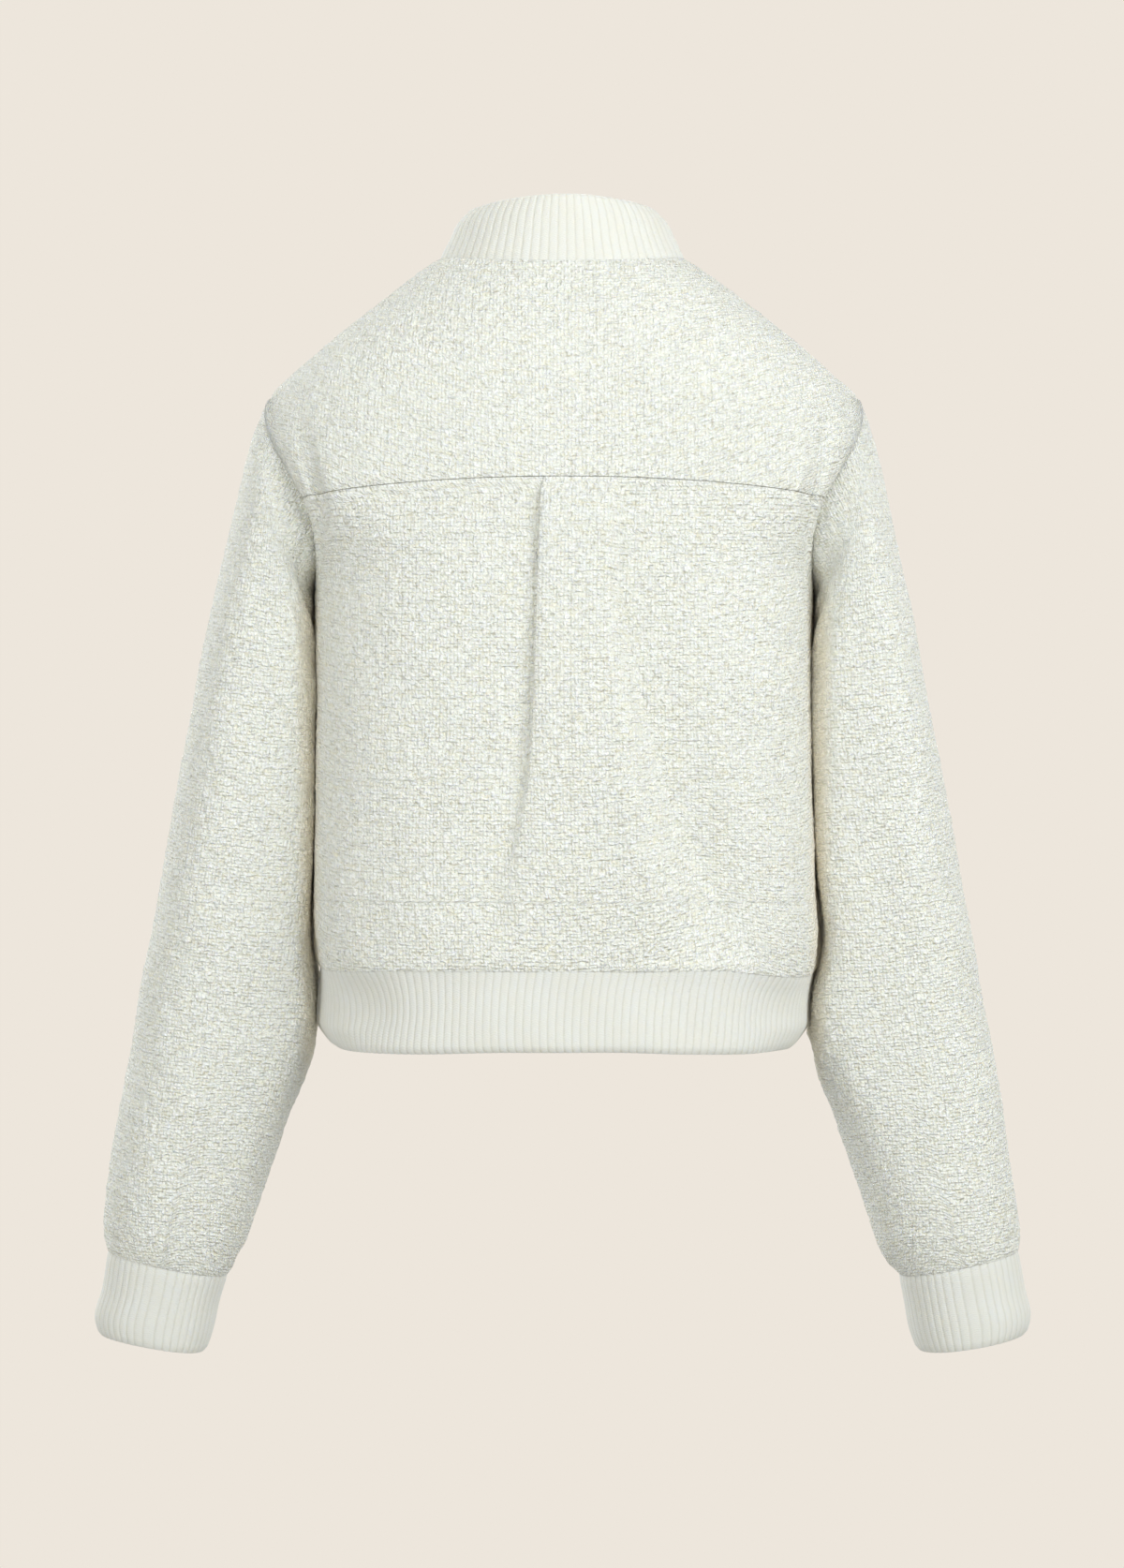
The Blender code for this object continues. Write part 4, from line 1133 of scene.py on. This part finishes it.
def make_front(side, name, seed):
    net = eased(front_net(side, 116, 196))
    own_s, own_t = lengths(net)
    s, t = lengths(net, np.abs(net[:, 0, 0]), -net[0, :, 2])
    normals = outward(net, np.array((side * 60.0, 20.0, -300.0)))
    shift = 1.0 + FRONT_UNLIKE * side
    relief = yarn_lumps(s, t, seed)
    relief += hanging_folds(np.abs(net[..., 0]) * shift, net[..., 2], FRONT_FOLDS)
    relief += creases(s * shift, t, FRONT_CREASES)
    relief = seamed(relief, ((own_t, SEAM_SOFT), (own_t[-1] - own_t, SEAM_CRISP),
                             (own_s[:, -1:] - own_s, armhole_roll(net[..., 2])),
                             (own_s, SEAM_CRISP)))
    points = net + normals * relief[..., None]
    return sheet_object(name, points, False, CLOTH, (side * s, t), boucle_cloth)


front_left = make_front(LEFT, "front_left_cloth", 11.0)
front_right = make_front(RIGHT, "front_right_cloth", 17.0)

# %% [markdown]
# ## Sleeves
# A sleeve is a tube that starts at the armhole and turns down into the cuff. It is nearly
# smooth, because boucle is thick and soft: only slack folds show at the armpit and the elbow,
# and small gathers above the cuff, where a wide tube is eased onto a narrow one. It is set up as
# rings. Each has an outer and an inner end, and goes round the back first.

# %% Rings of a sleeve
SLEEVE_COLUMNS = ("outer_left", "outer_right", "outer_z", "inner_left", "inner_right", "inner_z",
                  "middle_y", "half_depth")
SLEEVE = (
    (206.0, 204.0, -122.0, 166.0, 166.0, -221.0, 0.0, 65.0),
    (214.5, 213.0, -160.0, 166.3, 166.4, -231.0, -2.0, 70.0),
    (224.5, 221.0, -198.0, 166.2, 166.4, -248.0, -4.0, 72.0),
    (235.0, 232.0, -245.0, 166.0, 166.0, -278.0, -6.0, 72.0),
    (244.5, 240.5, -292.0, 166.0, 166.0, -318.0, -9.0, 70.0),
    (254.0, 251.0, -343.0, 166.2, 166.5, -362.0, -13.0, 68.0),
    (264.0, 260.5, -393.0, 166.5, 167.5, -405.0, -18.0, 66.0),
    (273.0, 270.0, -441.0, 167.0, 171.5, -449.0, -22.0, 63.0),
    (283.0, 278.5, -488.0, 164.0, 163.5, -497.0, -27.0, 60.0),
    (289.5, 286.5, -527.0, 172.0, 170.0, -537.0, -31.0, 57.0),
    (296.5, 292.5, -560.0, 186.0, 183.0, -572.0, -34.0, 54.0),
    (302.5, 297.5, -592.0, 197.0, 194.0, -603.0, -37.0, 50.0),
    (306.5, 302.5, -621.0, 207.5, 204.5, -634.0, -40.0, 46.0),
    (308.5, 305.5, -645.0, 218.0, 214.5, -661.0, -43.0, 42.0),
    (307.0, 306.0, -660.0, 226.5, 226.0, -677.0, -45.0, 38.0),
)
CUFF = (
    (307.0, 306.0, -660.0, 226.5, 226.0, -677.0, -45.0, 38.0),
    (310.5, 310.5, -684.0, 232.0, 229.5, -695.0, -48.0, 37.0),
    (316.0, 315.0, -708.0, 237.5, 234.5, -719.0, -51.0, 36.0),
    (313.0, 312.0, -718.0, 241.5, 239.0, -730.0, -52.0, 34.5),
)
print("rings: %d in a sleeve and %d in a cuff" % (len(SLEEVE), len(CUFF)))

# %% [markdown]
# A ring is a little squarer than an ellipse. Where the sleeve lies against the body, its inner
# end sits further forward, and its back is fuller and bulges towards the body. So the gap
# between them stays narrow.

# %% From ring to points
SLEEVE_ROUND = 0.86
INNER_ROUND = 0.36       # the back of the sleeve is fuller where it lies against the body
LEAN_COLUMNS = ("z", "lean")
LEAN = ((-221.0, 0.0), (-248.0, 7.0), (-278.0, 10.0), (-497.0, 10.0), (-537.0, 8.0), (-634.0, 0.0))
LEAN_MOST = 10.0
PRESSED = (4.4, 32.0, 14.0)      # the bulge towards the body: how far, where, how wide


def rounded(value, power):
    return np.sign(value) * np.abs(value) ** power


def ring(row, side, angle):
    """Points of a ring: angle 0 is its outer end and pi its inner end."""
    values = dict(zip(SLEEVE_COLUMNS, row))
    word = "left" if side == LEFT else "right"
    outer, inner = (np.array((side * values[end + "_" + word], values["middle_y"],
                              values[end + "_z"])) for end in ("outer", "inner"))
    lean = float(read(LEAN, LEAN_COLUMNS, "lean", inner[2]))
    inner[1] -= lean
    full = (np.cos(angle) < 0.0) & (np.sin(angle) > 0.0)
    power = np.where(full, mix(SLEEVE_ROUND, INNER_ROUND, lean / LEAN_MOST), SLEEVE_ROUND)
    across = rounded(np.cos(angle), power)[:, None]
    points = (outer + inner) / 2.0 + across * (outer - inner) / 2.0
    points[:, 1] += rounded(np.sin(angle), power) * values["half_depth"]
    far, where, width = PRESSED
    bulge = full * far * lean / LEAN_MOST * np.exp(-((points[:, 1] - where) / width) ** 2)
    points[:, 0] -= side * bulge
    return points


def armhole_ring(side, angle):
    """The first ring of a sleeve, on the armhole."""
    back = np.stack(armhole(side, BACK, angle), axis=-1)
    front = np.stack(armhole(side, FRONT, 2.0 * np.pi - angle), axis=-1)
    return np.where((angle <= np.pi)[:, None], back, front)


print("outer end of the first ring:", ring(SLEEVE[0], LEFT, turns(4))[0])

# %% Relief round a tube
TUBE_RADIUS = 68.0
GATHERS = 23
GATHER_HEIGHT = 0.5
GATHER_PLACE, GATHER_REACH = 7.0, 6.0    # above the cuff seam
GATHER_UNEVEN = (1.4, 5.0)       # how unlike the gathers are, and how often that changes


def round_lumps(turn, t, seed):
    """Lumps of the yarn round a tube, which meet where the tube closes."""
    total = np.zeros_like(turn)
    for size, height, shift in YARN_LUMPS:
        a = TUBE_RADIUS * np.cos(2.0 * np.pi * turn) / size
        b = TUBE_RADIUS * np.sin(2.0 * np.pi * turn) / size
        c = t / size + seed + shift
        values = [noise.noise(Vector(p)) for p in zip(a.ravel(), b.ravel(), c.ravel())]
        total += height * np.array(values).reshape(turn.shape)
    return total


def gathers(turn, end, seed):
    """Small folds where the tube is eased onto its cuff."""
    wave = 2.0 * np.pi * turn
    far, often = GATHER_UNEVEN
    gather = np.sin(GATHERS * wave + far * np.sin(wave * often + seed))
    return GATHER_HEIGHT * gather * np.exp(-((end - GATHER_PLACE) / GATHER_REACH) ** 2)


print("gathers round the cuff:", GATHERS)

# %% Sleeves
SLEEVE_CREASES = {
    # share of a turn from the outer line round the back, place down, half length, width,
    # depth, slant
    LEFT: ((0.40, 28.0, 34.0, 8.0, 1.5, 24.0), (0.36, 60.0, 30.0, 9.0, 0.9, 18.0),
           (0.62, 40.0, 36.0, 8.0, 1.8, -22.0), (0.58, 300.0, 34.0, 9.0, 1.3, -14.0),
           (0.44, 330.0, 40.0, 10.0, 1.0, 16.0), (0.70, 352.0, 44.0, 10.0, 1.6, -10.0),
           (0.82, 300.0, 34.0, 9.0, 1.1, 18.0), (0.52, 468.0, 26.0, 7.0, 0.9, 12.0)),
    RIGHT: ((0.39, 30.0, 34.0, 7.0, 1.8, 30.0), (0.34, 66.0, 28.0, 10.0, 0.8, 20.0),
            (0.63, 46.0, 34.0, 9.0, 1.6, -26.0), (0.56, 318.0, 38.0, 9.0, 1.4, -12.0),
            (0.42, 352.0, 36.0, 10.0, 0.9, 14.0), (0.72, 340.0, 40.0, 9.0, 1.5, -14.0),
            (0.84, 372.0, 36.0, 10.0, 1.2, 12.0), (0.50, 480.0, 24.0, 7.0, 1.0, 16.0)),
}
ARM = {side: np.array((side * 0.19, -0.06, -0.98)) for side in (LEFT, RIGHT)}


def make_sleeve(side, name, seed):
    angle = turns(150)
    rings = [armhole_ring(side, angle)] + [ring(row, side, angle) for row in SLEEVE]
    net = through_rows(np.array(rings), 222)
    own_t = lengths(net)[1]
    wrapped = closed_up(net)
    down_arm = wrapped[0] @ ARM[side]
    s, t = lengths(wrapped, None, down_arm - down_arm.min())
    around = s[:, -1:]
    own_s = s[:, :-1]
    relief = round_lumps(own_s / around, own_t, seed)
    for share, *crease in SLEEVE_CREASES[side]:
        relief += creases(own_s, own_t, ((share * around, *crease),), around)
    end = own_t[-1] - own_t
    relief += gathers(own_s / around, end, seed)
    relief = seamed(relief, ((own_t, armhole_roll(net[..., 2])), (end, SEAM_CRISP)))
    normals = outward(net, net.mean(axis=1, keepdims=True), closed=True)
    points = net + normals * relief[..., None]
    return sheet_object(name, points, True, CLOTH, (s, t), boucle_cloth)


sleeve_left = make_sleeve(LEFT, "sleeve_left_cloth", 23.0)
sleeve_right = make_sleeve(RIGHT, "sleeve_right_cloth", 29.0)

# %% [markdown]
# ## Ribbed cuffs, hem band and collar
# All three are the same knit, folded double. Its ribs are drawn as true relief: eight columns
# to a rib, high over most of its width, with a narrow groove. The folded edge is rounded over.

# %% Ribs
RIB_COLUMNS = 8
RIB_DEPTH = 0.55
RIB_EVEN = 0.45          # less makes the ribs broader and the grooves narrower
FOLD_RADIUS = 1.6        # the knit turns inwards this close to its folded edge


def rib_count(ribs, rows):
    """The number of each rib and its parts, for every point of a net."""
    return np.arange(ribs * RIB_COLUMNS + 1) / RIB_COLUMNS + np.zeros((rows, 1))


def rib_relief(phase):
    """Height of the knit across its ribs: phase counts the ribs."""
    return RIB_DEPTH * (np.abs(np.sin(np.pi * phase)) ** RIB_EVEN - 1.0)


def edge_round(distance):
    short = np.clip(1.0 - distance / FOLD_RADIUS, 0.0, 1.0)
    return -FOLD_RADIUS * (1.0 - np.sqrt(1.0 - short ** 2)) * 0.8


def end_rolls(own_s):
    """The two ends of a band, turned in beside the zip."""
    return roll(own_s, 1.0, 1.5) + roll(own_s[:, -1:] - own_s, 1.0, 1.5)


def knit_object(name, points, closed, phase, t):
    """A knit piece. Each rib has one pitch on the map, so the stitches sit on the ribs."""
    return sheet_object(name, points, closed, CLOTH, (phase * RIB_PITCH, t), knit)


print("middle of a rib, and a groove:", rib_relief(np.array([0.5, 1.0])).round(2), "mm")

# %% Cuffs
CUFF_RIBS = 46
CUFF_WAVE = 0.5          # the open end of a cuff is a little out of round


def make_cuff(side, name, seed):
    angle = turns(CUFF_RIBS * RIB_COLUMNS)
    net = through_rows(np.array([ring(row, side, angle) for row in CUFF]), 20)
    own_t = lengths(net)[1]
    phase = rib_count(CUFF_RIBS, len(net))
    wave = CUFF_WAVE * np.sin(2.0 * np.pi * phase[:, :-1] / CUFF_RIBS * 3.0 + seed)
    relief = rib_relief(phase[:, :-1]) + wave * np.clip(own_t / 40.0, 0.0, 1.0)
    relief += edge_round(own_t[-1] - own_t) + roll(own_t)
    normals = outward(net, net.mean(axis=1, keepdims=True), closed=True)
    points = net + normals * relief[..., None]
    return knit_object(name, points, True, phase, closed_up(own_t))


cuff_left = make_cuff(LEFT, "cuff_left_knit", 1.0)
cuff_right = make_cuff(RIGHT, "cuff_right_knit", 2.6)

# %% [markdown]
# The hem band runs level from one side of the zip round the back to the other. Its ribs sway a
# little near the sides, where the arms push it, and its folded edge rounds up at the corners.

# %% Hem band
HEM_BOTTOM = -518.5
HEM_HIGH = 52.0
HEM_CORNER = 14.0        # the folded edge rounds up at the sides over this height
CORNER_IN = (0.045, 100.0, 60.0)         # drawn in by this share, from where and over how far
CORNER_DOWN = (2.5, 30.0, 90.0)          # let down by this much, from where and over how far
# ribs that sway: place across, how far, and over what width
HEM_LEANS = ((-138.0, 4.0, 22.0), (-100.0, -1.2, 26.0), (96.0, -3.0, 30.0), (134.0, -8.0, 24.0))


def hem_path(z):
    """A level row: place 0 to 1 is the left front, 1 to 3 the back, 3 to 4 the right front."""
    edge = FRONT_EDGE / float(body("left", z))

    def path(place):
        place = np.asarray(place, float)
        left = mix(edge, 1.0, np.clip(place, 0.0, 1.0))
        back = 2.0 - np.clip(place, 1.0, 3.0)
        right = -mix(1.0, edge, np.clip(place - 3.0, 0.0, 1.0))
        points = np.where((place < 1.0)[:, None], body_points(FRONT, left, z),
                          body_points(BACK, back, z))
        return np.where((place > 3.0)[:, None], body_points(FRONT, right, z), points)
    return path


def hem_net(columns, rows):
    tries = np.concatenate([k + rounded_steps(301) for k in range(4)])
    net = []
    for z in np.linspace(HEM_SEAM, HEM_BOTTOM, rows):
        path = hem_path(z)
        length = walked(path(tries))
        net.append(path(np.interp(np.linspace(0.0, length[-1], columns), length, tries)))
    return np.array(net)


def towards_side(across, most, start, reach):
    """A change that grows from a start towards both sides."""
    return most * smooth((np.abs(across) - start) / reach)


def make_hem_band():
    width = walked(hem_path(-500.0)(np.linspace(0.0, 4.0, 2001)))[-1]
    ribs = round(width / RIB_PITCH)
    net = hem_net(ribs * RIB_COLUMNS + 1, 20)
    own_s, own_t = lengths(net)
    phase = rib_count(ribs, len(net))
    relief = rib_relief(phase) + edge_round(own_t[-1] - own_t) + roll(own_t, 0.3)
    relief += lumps(own_s, own_t, 46.0, 0.8, 41.0) + end_rolls(own_s)
    normals = outward(net, np.array((0.0, 0.0, -492.0)))
    points = net + normals * relief[..., None]
    across = net[..., 0]
    sway = sum(size * np.exp(-((across - place) / width_of) ** 2)
               for place, size, width_of in HEM_LEANS) * np.sin(np.pi * own_t / HEM_HIGH)
    points[..., 0] += sway * (net[..., 1] > 0.0)
    low = smooth((HEM_BOTTOM + HEM_CORNER - net[..., 2]) / HEM_CORNER)
    points[..., 0] *= 1.0 - low * towards_side(across, *CORNER_IN)
    points[..., 2] -= low * towards_side(across, *CORNER_DOWN)
    print("hem band: %.0f mm round, %d ribs" % (width, ribs))
    return knit_object("hem_band_knit", points, False, phase, own_t)


hem_band = make_hem_band()

# %% [markdown]
# The collar stands on the neck seam and leans in, and is higher at the back than in front. Its
# rows are the seam itself, moved up and inwards along a gentle curve.

# %% Collar
COLLAR_RISE = ((1.0, 1.0), (0.76, 0.62), (0.36, 0.30), (0.0, 0.0))       # up, and inwards
COLLAR_HEIGHT = 33.0
COLLAR_EXTRA = (12.0, 5.0)               # more height at the middle of the back and front
COLLAR_TOP_WIDTH = 0.755
COLLAR_TOP_DEPTH = (0.846, 0.727)        # at the back and at the front
COLLAR_PITCH = 6.1
NECK_DEPTH = (53.0, 88.0)                # from the shoulder seam to the back and to the front


def neck_line():
    """The neck seam from the left centre front, round the back, to the right centre front."""
    share, z = front_neck(np.linspace(NECK_STEPS, 0.0, 200))
    left = body_points(FRONT, share, z)
    right = body_points(FRONT, -share, z)[::-1]
    across = np.sin(np.pi * (0.5 - np.linspace(0.0, 1.0, 300)))
    back = back_points(across, -NECK_DIP_BACK * (1.0 - across ** 2))
    return np.concatenate((left, back[1:-1], right))


def collar_top(base):
    x, y, z = base.T
    backness = np.maximum(y, 0.0) / NECK_DEPTH[0]
    frontness = np.maximum(-y, 0.0) / NECK_DEPTH[1]
    lean = np.where(y > 0.0, *COLLAR_TOP_DEPTH)
    rise = COLLAR_HEIGHT + COLLAR_EXTRA[0] * backness ** 2 + COLLAR_EXTRA[1] * frontness ** 2
    width = mix(COLLAR_TOP_WIDTH, 1.0, smooth(frontness * 4.0 - 3.0))
    return np.stack((x * width, y * lean - 2.0 * (1.0 - backness), z + rise), axis=-1)


def make_collar():
    line = neck_line()
    length = walked(line)
    ribs = round(length[-1] / COLLAR_PITCH)
    at = np.linspace(0.0, length[-1], ribs * RIB_COLUMNS + 1)
    base = np.stack([np.interp(at, length, line[:, k]) for k in range(3)], axis=-1)
    top = collar_top(base)
    rows = [mix(base, top, np.array((inwards, inwards, up))) for up, inwards in COLLAR_RISE]
    net = through_rows(np.array(rows), 22)
    own_s, own_t = lengths(net)
    phase = rib_count(ribs, len(net))
    relief = rib_relief(phase) + edge_round(own_t) + roll(own_t[-1] - own_t, 0.3)
    relief += end_rolls(own_s) + lumps(own_s, own_t, 40.0, 0.8, 53.0)
    normals = outward(net, np.array((0.0, -10.0, 0.0)))
    points = net + normals * relief[..., None]
    print("collar: %.0f mm on the neck seam, %d ribs" % (length[-1], ribs))
    return knit_object("collar_knit", points, False, phase, own_t)


collar = make_collar()

# %% [markdown]
# ## Zip
# The two fronts meet at a metal zip. Each half is a woven tape with a row of small clasped
# teeth along its edge, and the teeth of the two halves take turns. The tapes lie a little
# behind the face of the fronts, and are sheets as the cloth is.

# %% Zip tapes
TAPE_INNER, TAPE_OUTER = 3.3, 17.0       # out from the centre front
TAPE_WALL = 1.0
TAPE_DEPTH = 3.2                         # behind the face of the fronts
TAPE_CORD = (0.25, 1.2, 0.9)             # the thick inner edge: height, place and width
TAPE_RIPPLE = 0.12
TAPE_SHADE = (0.65, 0.643, 0.56, 1.0)
TAPE_LIGHT = (0.81, 0.80, 0.725, 1.0)
ZIP_TOP, ZIP_BOTTOM = -79.0, -509.0


def woven_tape():
    w = Weave("zip_tape", {"Roughness": 0.8, "Specular IOR Level": 0.25})
    cloth = w.cloth()
    lines = w.add("TexWave", {"Vector": w.scaled(cloth, 1.0 * MM, 1.0 * MM), "Scale": 0.32,
                              "Distortion": 0.6, "Detail": 1.0}, output=1,
                  wave_type="BANDS", bands_direction="DIAGONAL")
    grain = w.noise(w.scaled(cloth, 0.5 * MM, 0.9 * MM), 3.0)
    height = w.math("ADD", lines, w.math("MULTIPLY", grain, 0.6))
    w.colour(w.blend(w.ramp(height, 0.2, 1.3), TAPE_SHADE, TAPE_LIGHT))
    w.bump(height, 0.15 * MM, 0.7)
    return w.finish


def make_tape(side, name):
    z = np.linspace(ZIP_TOP, ZIP_BOTTOM, 300)
    y = TAPE_DEPTH - body("front", z)
    net = np.stack([np.stack((np.full_like(z, side * x), y, z), axis=-1)
                    for x in np.linspace(TAPE_INNER, TAPE_OUTER, 15)], axis=1)
    s, t = lengths(net)
    high, place, width = TAPE_CORD
    edge = np.minimum(s, s[:, -1:] - s)
    net[..., 1] -= high * np.exp(-((s - place) / width) ** 2)
    net[..., 1] += TAPE_RIPPLE * np.sin(t / 9.0) * np.clip(edge / 4.0, 0.0, 1.0)
    return sheet_object(name, net, False, TAPE_WALL, (side * s, t), tape_cloth)


tape_cloth = woven_tape()
tape_left = make_tape(LEFT, "zip_tape_left_weave")
tape_right = make_tape(RIGHT, "zip_tape_right_weave")

# %% [markdown]
# Zip teeth are pressed from wire and brushed, and the slider is cast in the same pale metal.
# Brushing is a fine grain, drawn out by a stretched noise, and worn places are a little duller.

# %% Zip metal
METAL_WORN = (0.70, 0.68, 0.62, 1.0)
METAL_BRIGHT = (0.80, 0.79, 0.75, 1.0)
BRUSHED = (1 / 4000, 1 / 900, 1 / 500)   # size of the grain across, through and down
WORN_SIZE = 1 / 180


def satin_metal():
    w = Weave("satin_metal", {"Roughness": 0.34, "Metallic": 1.0})
    place = w.object_place()
    grain = w.noise(w.scaled(place, *BRUSHED), 3.0, 0.6)
    wear = w.noise(w.scaled(place, WORN_SIZE, WORN_SIZE, WORN_SIZE), 3.0)
    w.colour(w.blend(w.ramp(wear, 0.35, 0.7), METAL_WORN, METAL_BRIGHT))
    w.set_input(w.shader, "Roughness", w.ramp(grain, 0.25, 0.75, 0.26, 0.42))
    w.bump(grain, 0.03 * MM, 0.5)
    return w.finish


metal = satin_metal()
print("metal nodes:", len(metal.node_tree.nodes))

# %% [markdown]
# Every tooth is the same bevelled block, so it is modelled once and then copied down the chain,
# turned to its slope. Each reaches past the centre line, between two teeth of the other half.

# %% Zip teeth
TOOTH_PITCH = 2.6
TOOTH_REACH = (-1.1, 3.1)        # from past the centre line to the edge of its tape
TOOTH_DEEP, TOOTH_HIGH = 2.0, 1.5
TOOTH_TIP = (1.0, 0.75, 0.8)     # the tip is this much slimmer
TOOTH_ROUND = 0.3
TEETH_TOP = -89.0
TEETH_END = 1.5                  # kept free above the bottom box
CHAIN_DEPTH = 3.0                # the middle of the chain, behind the face of the fronts


def one_tooth(side):
    bm = bmesh.new()
    bmesh.ops.create_cube(bm, size=1.0)
    size = (TOOTH_REACH[1] - TOOTH_REACH[0], TOOTH_DEEP, TOOTH_HIGH)
    bmesh.ops.scale(bm, vec=Vector(size) * MM, verts=bm.verts)
    tip = [vert for vert in bm.verts if vert.co.x * side < 0.0]
    bmesh.ops.scale(bm, vec=TOOTH_TIP, verts=tip)
    bmesh.ops.bevel(bm, geom=bm.edges[:], offset=TOOTH_ROUND * MM, segments=1, profile=0.5,
                    affect="EDGES", material=-1)
    middle = side * (TOOTH_REACH[0] + TOOTH_REACH[1]) / 2.0
    bmesh.ops.translate(bm, vec=(middle * MM, 0.0, 0.0), verts=bm.verts)
    mesh = bpy.data.meshes.new("tooth")
    bm.to_mesh(mesh)
    bm.free()
    return mesh


def make_teeth(side, name):
    tooth = one_tooth(side)
    bm = bmesh.new()
    start = TEETH_TOP - (0.0 if side == LEFT else TOOTH_PITCH / 2.0)
    count = int((start - ZIP_BOTTOM - TEETH_END) / TOOTH_PITCH)
    for z in start - TOOTH_PITCH * np.arange(count):
        slope = float(body("front", z - 2.0) - body("front", z + 2.0)) / 4.0
        place = Vector((0.0, CHAIN_DEPTH - float(body("front", z)), z)) * MM
        first = len(bm.verts)
        bm.from_mesh(tooth)
        bm.verts.ensure_lookup_table()
        added = bm.verts[first:]
        bmesh.ops.rotate(bm, verts=added, matrix=Matrix.Rotation(math.atan(slope), 3, "X"))
        bmesh.ops.translate(bm, vec=place, verts=added)
    print(name, count, "teeth")
    return object_of(bm, name, metal)


teeth_left = make_teeth(LEFT, "zip_teeth_left")
teeth_right = make_teeth(RIGHT, "zip_teeth_right")

# %% [markdown]
# The slider, its pull tab and the box at the bottom are small castings. Their solids already
# have the right shape, with sharp corners, so a merged copy of each gets a fine bevel.

# %% Zip castings
FLAT_ANGLE = math.radians(4.0)
SHARP_ANGLE = math.radians(30.0)


def casting(node, name, round_by):
    """A copy of a solid with its corners rounded over."""
    bm = bmesh.new()
    bm.from_mesh(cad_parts[node].data)
    bmesh.ops.remove_doubles(bm, verts=bm.verts, dist=1e-6)
    bmesh.ops.dissolve_limit(bm, angle_limit=FLAT_ANGLE, verts=bm.verts, edges=bm.edges)
    sharp = [edge for edge in bm.edges
             if len(edge.link_faces) == 2 and edge.calc_face_angle() > SHARP_ANGLE]
    bmesh.ops.bevel(bm, geom=sharp, offset=round_by * MM, segments=2, profile=0.5,
                    affect="EDGES", material=-1, clamp_overlap=True)
    made = object_of(bm, name, metal)
    made.data.shade_smooth()
    return made


slider = casting("zip_slider", "zip_slider_cast", 0.22)
pull_tab = casting("zip_pull_tab", "zip_pull_tab_cast", 0.22)
bottom_box = casting("zip_bottom_box", "zip_bottom_box_cast", 0.35)
print("castings:", [len(piece.data.polygons) for piece in (slider, pull_tab, bottom_box)])

# %% [markdown]
# ## What each piece is
# Every piece is tied to the body that it moves with, and the solid that it takes the place of is
# hidden. The table also lists the name of its material, which nothing reads. Only the pull tab
# moves: it hangs from the slider.

# %% Attach to bodies
PIECES = (
    # piece, its solid, its material, its body
    (back_yoke, "back_yoke", "boucle", "jacket"),
    (back_panel, "back_panel", "boucle", "jacket"),
    (front_left, "front_left", "boucle", "jacket"),
    (front_right, "front_right", "boucle", "jacket"),
    (sleeve_left, "sleeve_left", "boucle", "jacket"),
    (sleeve_right, "sleeve_right", "boucle", "jacket"),
    (cuff_left, "cuff_left", "rib", "jacket"),
    (cuff_right, "cuff_right", "rib", "jacket"),
    (hem_band, "hem_band", "rib", "jacket"),
    (collar, "collar", "rib", "jacket"),
    (tape_left, "zip_tape_left", "tape", "jacket"),
    (tape_right, "zip_tape_right", "tape", "jacket"),
    (teeth_left, "zip_chain", "metal", "jacket"),
    (teeth_right, "zip_chain", "metal", "jacket"),
    (slider, "zip_slider", "metal", "jacket"),
    (bottom_box, "zip_bottom_box", "metal", "jacket"),
    (pull_tab, "zip_pull_tab", "metal", "pull_tab"),
)
for piece, node, material, moves_with in PIECES:
    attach(piece, moves_with)
    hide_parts(node)
print("pieces:", len(PIECES), "in place of", len({row[1] for row in PIECES}), "solids")

# %% [markdown]
# A table lists each sheet of cloth with the size of its cut: how wide and long it lies flat, in
# metres, and its area, because a sleeve or a yoke isn't a rectangle. That is the cut of what
# shows, all round on a tube, without seam allowances or the doubled rib. It also lists how each
# is held and what it is sewn to. The loop below only reads those names, and nothing else uses
# the table.

# %% Sheets
SHEETS = (
    (back_yoke, 0.470, 0.257, 0.0680, "hung", (front_left, front_right)),
    (back_panel, 0.475, 0.350, 0.1430, "hung", (back_yoke,)),
    (front_left, 0.230, 0.545, 0.0970, "hung", (back_yoke,)),
    (front_right, 0.230, 0.545, 0.0970, "hung", (back_yoke,)),
    (sleeve_left, 0.392, 0.587, 0.1900, "hung", (back_yoke, front_left)),
    (sleeve_right, 0.390, 0.587, 0.1880, "hung", (back_yoke, front_right)),
    (cuff_left, 0.240, 0.060, 0.0143, "stretched", (sleeve_left,)),
    (cuff_right, 0.240, 0.060, 0.0143, "stretched", (sleeve_right,)),
    (hem_band, 0.855, 0.053, 0.0453, "stretched", (back_panel, front_left, front_right)),
    (collar, 0.521, 0.046, 0.0188, "stretched", (back_yoke, front_left, front_right)),
    (tape_left, 0.014, 0.433, 0.0060, "hung", (front_left,)),
    (tape_right, 0.014, 0.433, 0.0060, "hung", (front_right,)),
)
for piece, width, length, area, held, sewn_to in SHEETS:
    [other.name for other in sewn_to]
print("sheets:", len(SHEETS))
